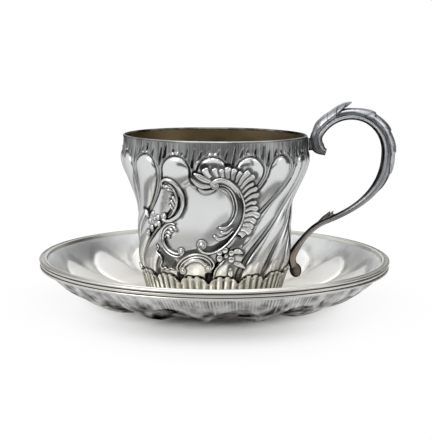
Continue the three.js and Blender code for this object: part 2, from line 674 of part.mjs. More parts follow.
// A small leaf bud on the upper side of the lower branch, just above its bend.
function makeBud() {
  const rise = new THREE.Vector2(bendFlow.y, -bendFlow.x);
  const middle = bend.clone().addScaledVector(bendFlow, -BUD_LENGTH / 2);
  middle.addScaledVector(rise, HANDLE_LOW_DEPTH / 2);
  const bud = new THREE.SphereGeometry(1, ...KNOB_MESH).scale(BUD_LENGTH / 2, BUD_WIDTH / 2, BUD_RISE);
  return bud.rotateY(-bendSlope).translate(middle.x, 0, middle.y);
}

function makeHandle() {
  const bossLength = HANDLE_CURL_DEPTH / 2;
  const boss = new THREE.BoxGeometry(bossLength, HANDLE_PAD_WIDTH / 2, HANDLE_PAD_HEIGHT / 2);
  boss.translate(handleReach + bossLength / 2, 0, padMiddle);
  const { x, y } = handleLine.getPointAt(1);
  const bulb = new THREE.SphereGeometry(HANDLE_END_DEPTH / 2, ...KNOB_MESH).translate(x, 0, y);
  const ends = joined([boss, bulb, makeBud()]);
  const fitted = makeBar(0).add(ends).subtract(wallEnvelope(SOLDER_GAP));
  return toGeometry(fitted);
}

const cup = new THREE.Group();
cup.position.z = SAUCER_SHEET + SEAT_GAP;
const thumbTurn = (HANDLE_JOIN - THUMB_TIP_ANGLE) / (HANDLE_JOIN - HANDLE_LOOP_END);
const thumbTip = lerp(loopStart, loopEnd, thumbTurn);
const leafStart = thumbTip + LEAF_SPACING / handleLength;
const leafEnd = loopEnd + LEAF_RUN / handleLength;
cup.add(
  piece("cup_wall", makeCupWall(), SILVER),
  piece("cup_lip_wire", makeLipWire(), SILVER),
  piece("cup_base_disc", makeBaseDisc(), GILT_SILVER),
  piece("foot_collar", makeFootCollar(), SILVER),
  piece("handle_bar", makeHandle(), DARK_SILVER),
  piece("handle_upper_pad", makeUpperPad(), DARK_SILVER),
  piece("thumb_leaf", makeLeaf(loopStart, thumbTip, THUMB_TEETH, THUMB_TIP_RISE), DARK_SILVER),
  piece("handle_leaf", makeLeaf(leafStart, leafEnd, LEAF_TEETH, 0), DARK_SILVER),
);

const saucer = new THREE.Group();
saucer.add(
  piece("saucer_dish", makeSaucerDish(), SILVER),
  piece("saucer_rim_wire", makeSaucerRimWire(), SILVER),
);

const cupAndSaucer = new THREE.Group();
cupAndSaucer.add(saucer, cup);

export default cupAndSaucer;
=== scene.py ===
"""A chased silver tea cup on its saucer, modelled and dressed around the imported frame.

Sizes are millimetres until a mesh is made. Heights on the cup are above its foot. Angles run
round the axis from -Y towards +X, so the cartouche faces the camera and the handle is at 90 degrees.
"""
import logging
import math
from dataclasses import dataclass, field
from enum import Enum

import bpy
import numpy as np
from bpy.types import Material, NodeSocket, NodeTree, Object
from mathutils import Matrix, Vector

import sys

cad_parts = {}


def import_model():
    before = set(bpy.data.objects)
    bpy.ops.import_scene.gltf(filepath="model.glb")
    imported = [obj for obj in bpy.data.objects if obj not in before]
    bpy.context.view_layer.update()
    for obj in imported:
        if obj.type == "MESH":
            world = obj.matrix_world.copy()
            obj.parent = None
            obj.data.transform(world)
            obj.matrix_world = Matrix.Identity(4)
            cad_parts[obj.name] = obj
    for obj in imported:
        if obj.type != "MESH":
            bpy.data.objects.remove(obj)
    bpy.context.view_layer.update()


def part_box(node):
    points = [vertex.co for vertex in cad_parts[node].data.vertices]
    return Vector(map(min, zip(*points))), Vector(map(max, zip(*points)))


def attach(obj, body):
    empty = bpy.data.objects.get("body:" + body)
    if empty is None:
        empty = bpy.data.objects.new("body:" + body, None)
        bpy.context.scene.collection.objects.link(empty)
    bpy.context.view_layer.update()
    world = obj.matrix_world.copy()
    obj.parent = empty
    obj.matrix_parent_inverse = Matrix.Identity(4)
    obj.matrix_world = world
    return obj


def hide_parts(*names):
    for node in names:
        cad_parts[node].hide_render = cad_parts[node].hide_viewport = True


MM = 0.001
TURN = 2.0 * math.pi
LOBES = 16
PITCH = TURN / LOBES
SHARP_ANGLE = math.radians(58.0)
WHITE = "#ffffff"
# Sockets of a mix of colours, whose names the node's other kinds share
MIX_FIRST, MIX_SECOND, MIX_RESULT = 6, 7, 2
LOG = logging.getLogger("cup_and_saucer")

Array = np.ndarray
# A point of a line or an outline, or a pair of limits
Pair = tuple[float, float]
# Points along a line or round an outline
Chart = tuple[Pair, ...]
# One number, or an array of them
Numbers = Array | float


class Mark(Enum):
    """Surface marks that the meshes carry for the finishes: darkness from oxide and painted shade, and
    matting.
    """

    # How dark a place is: oxide in the hollows, and painted shade where light falls short
    TARNISH_AND_SHADE = "tarnish"
    MATTING = "matting"


class Face(Enum):
    """Which finish of its piece a face takes."""

    OUTSIDE = 0
    INSIDE = 1


class Taper(Enum):
    """How a raised stroke swells and thins along its line."""

    BAND = "band"
    COMMA = "comma"
    LEAF = "leaf"
    FLUTE = "flute"


# Arithmetic shared by the pieces


def smooth(low: Numbers, high: Numbers, value: Numbers) -> Array:
    """Soft step."""
    share = np.clip((value - low) / (high - low), 0.0, 1.0)
    return share * share * (3.0 - 2.0 * share)


def ridge(value: Numbers, centre: float, half: Numbers) -> Array:
    """Round bump."""
    return np.clip(1.0 - ((value - centre) / half) ** 2, 0.0, None)


def dome(depth: Array, half: Numbers) -> Array:
    """Round rise from a lobe's edge to its middle, from 0 to 1."""
    return np.sqrt(1.0 - (1.0 - np.clip(depth / half, 0.0, 1.0)) ** 2)


def mixed(first: Numbers, second: Numbers, share: Numbers) -> Numbers:
    """Blend two values by a share of the second."""
    return first + (second - first) * share


def round_end(share: Array, start: float, length: float) -> Array:
    """Share of its width that a stroke keeps towards a round end."""
    return np.sqrt(ridge(np.maximum(share, start), start, length))


def spline(knots: Array, step: float) -> Array:
    """Smooth line through points, at an even step.

    Args:
        knots: the points, one a row.
        step: the distance between the points of the result.

    Returns:
        Points along the line.
    """
    knots = np.asarray(knots, float)
    padded = np.vstack([2 * knots[0] - knots[1], knots, 2 * knots[-1] - knots[-2]])
    t = np.linspace(0.0, 1.0, 16, endpoint=False)[:, None]
    parts = []
    for a, b, c, d in zip(padded, padded[1:], padded[2:], padded[3:]):
        cubic = (3 * b - a - 3 * c + d) * t**3 + (2 * a - 5 * b + 4 * c - d) * t**2
        parts.append(0.5 * (2 * b + (c - a) * t + cubic))
    return even_steps(np.vstack([*parts, knots[-1:]]), step)


def even_steps(line: Array, step: float) -> Array:
    """Points at an even step along a line of short segments.

    Args:
        line: the line's points.
        step: the distance wanted.

    Returns:
        At least five points, the first and last as given.
    """
    gaps = np.linalg.norm(np.diff(line, axis=0), axis=1)
    reach = np.concatenate([[0.0], np.cumsum(gaps)])
    count = max(4, round(reach[-1] / step))
    places = np.linspace(0.0, reach[-1], count + 1)
    return np.column_stack([np.interp(places, reach, column) for column in line.T])


def distance_to(line: Array, points: Array) -> Array:
    """Distance from points of a plane to a line of short segments.

    Args:
        line: the line's points.
        points: the places asked about.

    Returns:
        The least distance of each place to the line.
    """
    best = np.full(len(points), np.inf)
    for start, end in zip(line, line[1:]):
        run = end - start
        share = np.clip(((points - start) @ run) / max(run @ run, 1e-9), 0.0, 1.0)
        best = np.minimum(best, np.linalg.norm(points - start - share[:, None] * run, axis=1))
    return best


def inside_of(outline: Array, points: Array) -> Array:
    """Depth of points within a closed outline.

    Args:
        outline: the outline's corners.
        points: the places asked about.

    Returns:
        The distance to the outline, positive inside it and negative outside.
    """
    closed = np.vstack([outline, outline[:1]])
    within = np.zeros(len(points), bool)
    x, y = points.T
    for (x0, y0), (x1, y1) in zip(closed, closed[1:]):
        crosses = (y0 > y) != (y1 > y)
        within ^= crosses & (x < (x1 - x0) * (y - y0) / (y1 - y0 + 1e-12) + x0)
    return np.where(within, 1.0, -1.0) * distance_to(closed, points)


def on_axis(angle: Array, radius: Array, height: Array) -> Array:
    """Points at angles, radii and heights round the axis."""
    angle, radius, height = np.broadcast_arrays(angle, radius, height)
    return np.stack([radius * np.sin(angle), -radius * np.cos(angle), height], axis=-1)


def wrapped(angle: Array) -> Array:
    """Angles brought to within half a turn of the front."""
    return np.angle(np.exp(1j * angle))


def directions(line: Array) -> Array:
    """Unit vectors along a line of points."""
    ahead = np.gradient(line, axis=0)
    return ahead / np.linalg.norm(ahead, axis=1)[:, None]


def lobe_places(count: int, crowd: float) -> tuple[Array, Array]:
    """Places of a row's vertices across the lobes.

    Args:
        count: the row's vertices.
        crowd: how much closer they stand at the grooves, 0 for an even row.

    Returns:
        Each one's place across its lobe, from -0.5 to 0.5, and its angle from the first lobe.
    """
    turns = np.arange(count) / (count / LOBES)
    middle = np.round(turns)
    even = turns - middle
    phase = even + crowd * np.sin(TURN * even) / TURN
    return phase, (middle + phase) * PITCH


# Mesh making


class Draft:
    """Vertices, faces and surface marks of one piece while it is being shaped."""

    def __init__(self) -> None:
        """Start with nothing."""
        self.points: list[Array] = []
        self.marks: list[Array] = []
        self.faces: list[Array] = []
        self.sides: list[Array] = []
        self.count = 0

    def row(self, points: Array, tarnish: Numbers = 0.0, matting: Numbers = 0.0) -> Array:
        """Add vertices.

        Args:
            points: their places.
            tarnish: how dark each one is, from 0 to 1.
            matting: how matt each one is, from 0 to 1.

        Returns:
            The vertices' numbers.
        """
        marks = np.empty((len(points), 2))
        marks[:, 0] = tarnish
        marks[:, 1] = matting
        self.points.append(points)
        self.marks.append(marks)
        self.count += len(points)
        return np.arange(self.count - len(points), self.count)

    def add(self, faces: Array, side: Face = Face.OUTSIDE) -> None:
        """Add faces that all have as many corners."""
        self.faces.append(faces)
        self.sides.append(np.full(len(faces), side.value))

    def stitch(self, low: Array, high: Array, side: Face = Face.OUTSIDE) -> None:
        """Fill between two closed rows, one of which may have twice as many vertices.

        Args:
            low: the row that comes first.
            high: the row that comes next.
            side: the finish that the faces take.
        """
        low_next, high_next = np.roll(low, -1), np.roll(high, -1)
        if len(low) == len(high):
            self.add(np.column_stack([low, low_next, high_next, high]), side)
        elif len(high) > len(low):
            first, middle = high[0::2], high[1::2]
            self.add(np.column_stack([low, low_next, np.roll(first, -1), middle]), side)
            self.add(np.column_stack([low, middle, first]), side)
        else:
            first, middle = low[0::2], low[1::2]
            self.add(np.column_stack([middle, np.roll(first, -1), high_next, high]), side)
            self.add(np.column_stack([first, middle, high]), side)

    def fan(self, row: Array, point: Array, comes_first: bool) -> None:
        """Close a row to one point.

        Args:
            row: the row's vertices.
            point: where the faces meet.
            comes_first: true where the point comes before the row.
        """
        middle = np.full(len(row), self.row(np.asarray(point, float)[None])[0])
        around = np.roll(row, -1)
        pair = (around, row) if comes_first else (row, around)
        self.add(np.column_stack([middle, *pair]))

    def close(self, rows: list[Array]) -> None:
        """Fill between closed rows, and from the last one back to the first."""
        for low, high in zip(rows, rows[1:] + rows[:1]):
            self.stitch(low, high)

    def hoop(self, count: int, radii: Array, heights: Array, tarnish: Array) -> None:
        """Turn a closed profile round the axis.

        Args:
            count: vertices round the axis.
            radii: distances of the profile's points from the axis.
            heights: their heights above the table.
            tarnish: how dark each point is.
        """
        angle = np.linspace(0.0, TURN, count, endpoint=False)
        profile = zip(radii, heights, tarnish)
        self.close([self.row(on_axis(angle, radius, height), dark) for radius, height, dark in profile])

    def tube(self, rings: Array, tarnish: Numbers = 0.0, matting: Numbers = 0.0) -> None:
        """Add a closed body through rings, with its faces turned outwards.

        Args:
            rings: points as ring, place in the ring, coordinate.
            tarnish: how dark each point is, one number or as the rings.
            matting: how matt each point is, one number or as the rings.
        """
        count, size, _ = rings.shape
        tarnish = np.broadcast_to(tarnish, (count, size)).ravel()
        matting = np.broadcast_to(matting, (count, size)).ravel()
        ends = rings[[0, -1]].mean(axis=1)
        end_marks = np.array([tarnish[:size].mean(), tarnish[-size:].mean()])
        index = self.row(rings.reshape(-1, 3), tarnish, matting).reshape(count, size)
        first, last = self.row(ends, end_marks)
        around = np.roll(index, -1, axis=1)
        sides = np.stack([index[:-1], around[:-1], around[1:], index[1:]], axis=-1).reshape(-1, 4)
        start = np.column_stack([np.full(size, first), around[0], index[0]])
        end = np.column_stack([np.full(size, last), index[-1], around[-1]])
        middle = rings.reshape(-1, 3).mean(axis=0)
        places = np.vstack([rings.reshape(-1, 3), ends]) - middle
        corners = places[sides - index[0, 0]]
        out = np.cross(corners[:, 1] - corners[:, 0], corners[:, 3] - corners[:, 0])
        turned = np.einsum("ij,ij->", corners[:, 0], out) < 0.0
        for faces in (sides, start, end):
            self.add(faces[:, ::-1] if turned else faces)

    def build(self, name: str, *finishes: Material) -> Object:
        """Make the piece's mesh.

        Args:
            name: the piece's name.
            finishes: its materials, in the order of Face.

        Returns:
            The piece.
        """
        mesh = bpy.data.meshes.new(name)
        faces = [face for part in self.faces for face in part.tolist()]
        mesh.from_pydata((np.vstack(self.points) * MM).tolist(), [], faces)
        for finish in finishes:
            mesh.materials.append(finish)
        mesh.polygons.foreach_set("material_index", np.concatenate(self.sides))
        marks = np.vstack(self.marks)
        for column, mark in enumerate(Mark):
            attribute = mesh.attributes.new(mark.value, "FLOAT", "POINT")
            attribute.data.foreach_set("value", np.ascontiguousarray(marks[:, column], np.float32))
        mesh.shade_smooth()
        mesh.set_sharp_from_angle(angle=SHARP_ANGLE)
        piece = bpy.data.objects.new(name, mesh)
        bpy.context.scene.collection.objects.link(piece)
        LOG.info("%s: %d vertices, %d faces", name, len(mesh.vertices), len(mesh.polygons))
        return piece


# Finishes


def linear(code: str) -> tuple[float, float, float, float]:
    """Linear colour of an sRGB hex value.

    Args:
        code: the colour as #rrggbb.

    Returns:
        Red, green, blue and alpha.
    """
    shares = [int(code[i : i + 2], 16) / 255.0 for i in (1, 3, 5)]
    red, green, blue = [s / 12.92 if s <= 0.04045 else ((s + 0.055) / 1.055) ** 2.4 for s in shares]
    return red, green, blue, 1.0


def add_node(
    tree: NodeTree, kind: str, inputs: dict, output: str | int = 0, **settings: object
) -> NodeSocket | None:
    """Add a node to a material.

    Args:
        tree: the material's nodes.
        kind: the node's type.
        inputs: what each of its sockets is set to or linked from.
        output: the socket that is wanted.
        settings: the node's own settings.

    Returns:
        That socket, or None from a node without any.
    """
    node = tree.nodes.new(kind)
    for name, value in settings.items():
        setattr(node, name, value)
    for socket, value in inputs.items():
        if isinstance(value, NodeSocket):
            tree.links.new(value, node.inputs[socket])
        else:
            node.inputs[socket].default_value = value
    return node.outputs[output] if node.outputs else None


def new_material(name: str) -> tuple[Material, NodeTree]:
    """An empty material and its nodes."""
    material = bpy.data.materials.new(name)
    material.use_nodes = True
    material.node_tree.nodes.clear()
    return material, material.node_tree


def streaks_round(
    tree: NodeTree, place: NodeSocket, count: float, length_mm: float, detail: float
) -> NodeSocket:
    """Streaks that run up and down, spread round the axis.

    Args:
        tree: the material's nodes.
        place: the surface's places.
        count: streaks in a turn.
        length_mm: how long they are.
        detail: how finely they break up.

    Returns:
        The streaks' strength.
    """
    turn = add_node(tree, "ShaderNodeTexGradient", {"Vector": place}, "Fac", gradient_type="RADIAL")
    height = add_node(tree, "ShaderNodeSeparateXYZ", {"Vector": place}, "Z")
    across = add_node(tree, "ShaderNodeMath", {0: turn, 1: count}, operation="MULTIPLY")
    along = add_node(tree, "ShaderNodeMath", {0: height, 1: 1.0 / (length_mm * MM)}, operation="MULTIPLY")
    spot = add_node(tree, "ShaderNodeCombineXYZ", {"X": across, "Y": along})
    return add_node(tree, "ShaderNodeTexNoise", {"Vector": spot, "Scale": 1.0, "Detail": detail}, "Fac")


@dataclass(frozen=True)
class SilverFinish:
    """Silver with oxide left in its recesses, and darker where the meshes carry painted shade.

    The raised parts are bright from handling, the chased lines keep a dark oxide, and the punched
    grounds are matt.
    """

    name: str
    bright: str
    warm: str
    # Colour of the oxide, also used for painted shade
    oxide: str
    roughness: float
    warm_heights_mm: Pair
    edge: str = "#b2b3b4"
    dark_edge: str = "#1e1c1b"
    matt_roughness: float = 0.42
    cloud_mm: float = 9.0
    cloud_detail: float = 5.0
    cloud_limits: Pair = (0.35, 0.65)
    cloud_range: Pair = (0.75, 1.15)
    hatch_strokes: float = 260.0
    hatch_length_mm: float = 6.0
    hatch_depth_mm: float = 0.12
    hatch_detail: float = 2.0
    wave_mm: float = 7.0
    wave_depth_mm: float = 0.05
    wave_detail: float = 1.0

    def make(self) -> Material:
        """Make the material.

        Returns:
            The material.
        """
        material, tree = new_material(self.name)
        place = add_node(tree, "ShaderNodeTexCoord", {}, "Object")
        height = add_node(tree, "ShaderNodeSeparateXYZ", {"Vector": place}, "Z")
        tarnish, matting = (
            add_node(tree, "ShaderNodeAttribute", {}, "Fac", attribute_name=mark.value) for mark in Mark
        )
        cloud, wave = (
            add_node(
                tree,
                "ShaderNodeTexNoise",
                {"Vector": place, "Scale": 1.0 / (size * MM), "Detail": detail},
                "Fac",
            )
            for size, detail in ((self.cloud_mm, self.cloud_detail), (self.wave_mm, self.wave_detail))
        )
        clear, full = self.cloud_limits
        thin, thick = self.cloud_range
        spread = add_node(
            tree,
            "ShaderNodeMapRange",
            {"Value": cloud, "From Min": clear, "From Max": full, "To Min": thin, "To Max": thick},
        )
        dark = add_node(
            tree, "ShaderNodeMath", {0: tarnish, 1: spread}, operation="MULTIPLY", use_clamp=True
        )
        dull = add_node(tree, "ShaderNodeMath", {0: dark, 1: matting}, operation="MAXIMUM")
        rough = add_node(
            tree,
            "ShaderNodeMapRange",
            {"Value": dull, "To Min": self.roughness, "To Max": self.matt_roughness},
        )
        # The colour turns from bright to warm towards the bottom, between these two heights
        foot, clean = self.warm_heights_mm
        warming = add_node(
            tree, "ShaderNodeMapRange", {"Value": height, "From Min": clean * MM, "From Max": foot * MM}
        )
        tone, sheen = (
            add_node(
                tree,
                "ShaderNodeMix",
                {"Factor": share, MIX_FIRST: linear(first), MIX_SECOND: linear(second)},
                MIX_RESULT,
                data_type="RGBA",
            )
            for share, first, second in (
                (warming, self.bright, self.warm),
                (dark, self.edge, self.dark_edge),
            )
        )
        colour = add_node(
            tree,
            "ShaderNodeMix",
            {"Factor": dark, MIX_FIRST: tone, MIX_SECOND: linear(self.oxide)},
            MIX_RESULT,
            data_type="RGBA",
        )
        strokes = streaks_round(tree, place, self.hatch_strokes, self.hatch_length_mm, self.hatch_detail)
        hatch = add_node(tree, "ShaderNodeMath", {0: strokes, 1: matting}, operation="MULTIPLY")
        normal = add_node(
            tree, "ShaderNodeBump", {"Height": wave, "Distance": self.wave_depth_mm * MM, "Strength": 1.0}
        )
        normal = add_node(
            tree,
            "ShaderNodeBump",
            {"Height": hatch, "Distance": self.hatch_depth_mm * MM, "Strength": 1.0, "Normal": normal},
        )
        shader = add_node(
            tree,
            "ShaderNodeBsdfPrincipled",
            {
                "Base Color": colour,
                "Specular Tint": sheen,
                "Metallic": 1.0,
                "Roughness": rough,
                "Normal": normal,
            },
        )
        add_node(tree, "ShaderNodeOutputMaterial", {"Surface": shader})
        return material


@dataclass(frozen=True)
class GildingFinish:
    """Fire gilding worn by use: brown gold with lighter streaks down the wall."""

    name: str = "worn_gilding"
    gold: str = "#998c72"
    worn: str = "#9c917c"
    roughness: float = 0.34
    streaks: float = 70.0
    streak_length_mm: float = 60.0
    streak_detail: float = 4.0
    streak_limits: Pair = (0.35, 0.75)

    def make(self) -> Material:
        """Make the material.

        Returns:
            The material.
        """
        material, tree = new_material(self.name)
        place = add_node(tree, "ShaderNodeTexCoord", {}, "Object")
        streak = streaks_round(tree, place, self.streaks, self.streak_length_mm, self.streak_detail)
        clear, full = self.streak_limits
        share = add_node(
            tree, "ShaderNodeMapRange", {"Value": streak, "From Min": clear, "From Max": full}
        )
        colour = add_node(
            tree,
            "ShaderNodeMix",
            {"Factor": share, MIX_FIRST: linear(self.gold), MIX_SECOND: linear(self.worn)},
            MIX_RESULT,
            data_type="RGBA",
        )
        shader = add_node(
            tree,
            "ShaderNodeBsdfPrincipled",
            {"Base Color": colour, "Metallic": 1.0, "Roughness": self.roughness},
        )
        add_node(tree, "ShaderNodeOutputMaterial", {"Surface": shader})
        return material


# Raised, planished and chased sheet: light grey with a soft mirror, black in the chased lines
CHASED_SILVER = SilverFinish(
    "chased_silver", "#d9dada", "#b9b6ab", "#191817", roughness=0.19, warm_heights_mm=(9.0, 32.0), edge="#cacbcb"
)
# The same sheet with a broader, softer mirror from years of polishing
POLISHED_SILVER = SilverFinish(
    "polished_silver", "#eeefef", "#e4e2dc", "#3a362f", roughness=0.38, warm_heights_mm=(3.0, 13.0),
    edge="#f4f4f4", cloud_mm=6.0, cloud_range=(0.3, 1.7),
)
# Moulded wire drawn through a plate: even and bright along its length
DRAWN_SILVER = SilverFinish(
    "drawn_silver", "#dcdedf", "#dad8d2", "#2b2722", roughness=0.32, warm_heights_mm=(17.0, 40.0), edge="#f4f4f4"
)
# Cast and filed: darker, with the oxide left from the mould in its hollows
CAST_SILVER = SilverFinish(
    "cast_silver", "#ccced2", "#8b8178", "#191617", roughness=0.3, warm_heights_mm=(20.0, 50.0)
)
# Gold fired on the silver inside: a dull brown yellow, paler where wear has thinned it
GILDING = GildingFinish()


# Saucer


@dataclass
class Saucer:
    """The dish with its sixteen lobes, and the moulded wire round its edge."""

    radius: float
    height: float
    sheet: float = 1.0
    gap: float = 0.06
    flat_radius: float = 38.0
    lip_height: float = 2.4
    bowl_power: float = 2.5
    flare: float = 9.0
    # Lobes, and the chased line round each
    first_lobe: float = math.radians(7.8)
    lobe_rise: float = 1.5
    lobe_share: float = 0.43
    lobe_turn: float = 55.7
    lobe_fade: float = 9.0
    crowd: float = 0.4
    line_place: float = -0.9
    line_half: float = 2.2
    line_depth: float = 0.2
    line_radii: Pair = (46.0, 60.0)
    ground_edge: float = 1.2
    # Fine strokes under the rim
    strokes: int = 22
    stroke_lean: float = 0.16
    stroke_depth: float = 0.28
    seed: int = 5
    # Rows of the mesh
    well_radii: tuple[float, ...] = (8.0, 22.0, 34.0)
    lobed_radius: float = 61.0
    stroke_radius: float = 61.5
    # Moulded wire, whose beads and grooves lie at shares of its drop
    wire_width: float = 2.0
    wire_drop: float = 4.0
    wire_lip: float = 1.0
    wire_slant: float = 0.34
    wire_beads: tuple[tuple[float, float, float], ...] = ((0.14, 0.15, 0.28), (0.46, 0.14, 0.16))
    wire_top_bead: Pair = (0.82, 0.2)
    wire_toe: float = 0.05
    # Tones of the wire, from 0 for bright to 1 for oxide
    wire_tone: float = 0.12
    groove_tone: float = 0.5

    @property
    def edge(self) -> float:
        """Radius of the dish's upright edge."""
        return self.radius - self.wire_width

    @property
    def inside(self) -> float:
        """Radius of the upright edge's inner side."""
        return self.edge - self.sheet

    @property
    def top(self) -> float:
        """Height of the dish's upright edge."""
        return self.height - self.wire_lip - self.gap

    def bowl(self, radius: Array) -> Array:
        """Height of the dish's underside at a radius."""
        out = np.clip((radius - self.flat_radius) / (self.edge - self.flat_radius), 0.0, None)
        return (self.top - self.lip_height) * out**self.bowl_power

    def lobe_depth(self, phase: Array, radius: Array) -> tuple[Array, Array]:
        """How far inside its lobe a place lies.

        Args:
            phase: place across the lobe, from -0.5 to 0.5.
            radius: distance from the axis.

        Returns:
            The depth in millimetres, negative outside the lobe, and the lobe's half width there.
        """
        half = self.lobe_share * PITCH * np.minimum(radius, self.lobe_turn)
        past = np.clip(radius - self.lobe_turn, 0.0, None)
        return half - np.hypot(phase * PITCH * radius, past), half

    def relief(self, phase: Array, radius: Array) -> tuple[Array, Array, Array]:
        """Chasing of the dish.

        Args:
            phase: place across the lobe, from -0.5 to 0.5.
            radius: distance from the axis.

        Returns:
            Rise, the chased line's strength and how far a place is ground between the lobes.
        """
        depth, half = self.lobe_depth(phase, radius)
        fade = smooth(self.flat_radius, self.flat_radius + self.lobe_fade, radius)
        line = ridge(depth, self.line_place, self.line_half) * smooth(*self.line_radii, radius)
        rise = fade * (self.lobe_rise * dome(depth, half) - self.line_depth * line)
        return rise, line, fade * smooth(self.ground_edge, -self.ground_edge, depth)

    def flames(self, angle: Array, radius: float) -> Array:
        """Height of the fine strokes under the rim, of uneven length and weight.

        Args:
            angle: angles round the axis.
            radius: distance from the axis.

        Returns:
            The strokes' height at each angle, from 0 to 1.
        """
        count = self.strokes * LOBES
        lean = self.stroke_lean * (self.edge - radius) / radius
        at = ((angle - lean) % TURN) / TURN * count
        number = np.floor(at).astype(int) % count
        rng = np.random.default_rng(self.seed)
        start = rng.uniform(61.5, 67.5, count)[number]
        weight = rng.uniform(0.35, 1.0, count)[number]
        fade = smooth(start, start + 1.5, radius)
        return weight * ridge(at % 1.0, 0.5, 0.42) * fade

    def columns(self, count: int) -> tuple[Array, Array]:
        """Phase and angle of a row's vertices, crowded towards the grooves."""
        phase, angle = lobe_places(count, self.crowd)
        return phase, angle + self.first_lobe

    def build_dish(self, finish: Material) -> Object:
        """Raise the dish.

        Args:
            finish: its material.

        Returns:
            The piece.
        """
        coarse, middle, fine = LOBES * 16, LOBES * 64, LOBES * 128
        under = [(r, coarse) for r in self.well_radii]
        under += [(r, middle) for r in np.linspace(self.flat_radius, self.lobed_radius, 28)]
        under += [(r, fine) for r in np.linspace(self.stroke_radius, self.edge, 14)]
        upright = ((self.edge, self.top - 1.2), (self.edge, self.top), (self.inside, self.top))
        over = [(self.inside, fine)]
        over += [(r, middle) for r in np.linspace(self.inside - 0.4, self.flat_radius, 50)]
        over += [(r, coarse) for r in reversed(self.well_radii)]
        draft = Draft()
        _, angle = self.columns(fine)
        rows = [self.dish_row(draft, radius, count, 0.0) for radius, count in under]
        rows += [draft.row(on_axis(angle, radius, height)) for radius, height in upright]
        rows += [self.dish_row(draft, radius, count, self.sheet) for radius, count in over]
        for low, high in zip(rows, rows[1:]):
            for first, second in self.halved(draft, low, high):
                draft.stitch(first, second)
        draft.fan(rows[0], (0.0, 0.0, 0.0), True)
        draft.fan(rows[-1], (0.0, 0.0, self.sheet), False)
        return draft.build("saucer_dish_chased", finish)

    def halved(self, draft: Draft, low: Array, high: Array) -> list[tuple[Array, Array]]:
        """The steps between two rows, with a row between them where one has four times the other.

        Args:
            draft: the mesh being made.
            low: the row that comes first.
            high: the row that comes next.

        Returns:
            Pairs of rows to stitch.
        """
        big, small = (low, high) if len(low) > len(high) else (high, low)
        if len(big) < 4 * len(small):
            return [(low, high)]
        places = np.vstack(draft.points)
        between = draft.row((places[big[::2]] + np.repeat(places[small], 2, axis=0)) / 2)
        return [(low, between), (between, high)]

    def dish_row(self, draft: Draft, radius: float, count: int, lift: float) -> Array:
        """One row of the dish.

        Args:
            draft: the mesh being made.
            radius: the row's distance from the axis.
            count: its vertices.
            lift: 0 on the underside, the sheet's thickness above.

        Returns:
            The vertices' numbers.
        """
        phase, angle = self.columns(count)
        rise, line, ground = self.relief(phase, np.full(count, radius))
        height = self.bowl(radius) + rise + lift
        if lift:
            wanted = self.top - lift - float(self.bowl(self.inside))
            flare = smooth(self.inside - self.flare, self.inside, radius) ** 1.5
            # Inside: oxide in the chased line round each lobe, which also stands for the soft painted
            # shadow at the lobe's end, and a little between the lobes
            tarnish = 0.14 * line + 0.07 * ground
            place = on_axis(angle, radius, height + wanted * flare)
            return draft.row(place, tarnish, 0.7 * ground)
        flame = self.flames(angle, radius) * ground
        # Underside: oxide with painted shade, darkest towards the middle over the saucer's own shadow;
        # the strokes are left lighter
        deep = float(smooth(64.0, 50.0, radius))
        tarnish = mixed(mixed(0.52, 0.66, deep), mixed(0.6, 0.66, deep), 1.0 - ground)
        tarnish = tarnish - 0.1 * line - 0.4 * flame
        place = on_axis(angle, radius, height - self.stroke_depth * flame)
        return draft.row(place, np.clip(tarnish, 0.0, 1.0), 0.6 * ground)

    def build_wire(self, finish: Material) -> Object:
        """Draw the moulded wire.

        Args:
            finish: its material.

        Returns:
            The piece.
        """
        clasp = self.edge + self.gap
        hook = self.inside - self.gap
        seat = self.height - self.wire_lip
        share = np.linspace(0.0, 1.0, 56)
        swell = np.full(len(share), 0.62)
        for middle, half, rise in self.wire_beads:
            swell = swell + rise * np.sqrt(ridge(share, middle, half))
        swell = np.maximum(swell, np.sqrt(ridge(share, *self.wire_top_bead)))
        dark = ridge(share, 0.0, self.wire_toe)
        for middle in (0.305, 0.615):
            swell = swell - 0.22 * ridge(share, middle, 0.035)
            dark = dark + ridge(share, middle, 0.06)
        toe = np.sqrt(np.clip(share / self.wire_toe, 0.0, 1.0))
        out = clasp + (self.radius - clasp) * swell * toe
        up = self.height - self.wire_drop + self.wire_drop * share
        arc = np.linspace(0.0, math.pi, 12)
        crown = 0.45 * self.wire_lip
        lip_out = (clasp + hook) / 2 + (clasp - hook) / 2 * np.cos(arc)
        lip_up = self.height - crown + crown * np.sin(arc)
        radii = np.concatenate([out, lip_out[1:], [hook - self.wire_slant, clasp]])
        heights = np.concatenate([up[:-1], lip_up, [seat - self.wire_slant, seat]])
        face = self.wire_tone + self.groove_tone * np.clip(dark, 0.0, 1.0)
        tarnish = np.concatenate([face, np.full(len(arc), 0.04), [self.wire_tone]])
        draft = Draft()
        draft.hoop(LOBES * 24, radii, heights, tarnish)
        return draft.build("saucer_rim_wire_moulded", finish)

    def dress(self) -> None:
        """Build the saucer's pieces and set them in the frame."""
        dish = self.build_dish(POLISHED_SILVER.make())
        wire = self.build_wire(DRAWN_SILVER.make())
        for piece, node, slot in (
            (dish, "saucer_dish", "saucer_silver"), (wire, "saucer_rim_wire", "wire_silver")
        ):
            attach(piece, "saucer")
            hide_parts(node)


# Cup wall


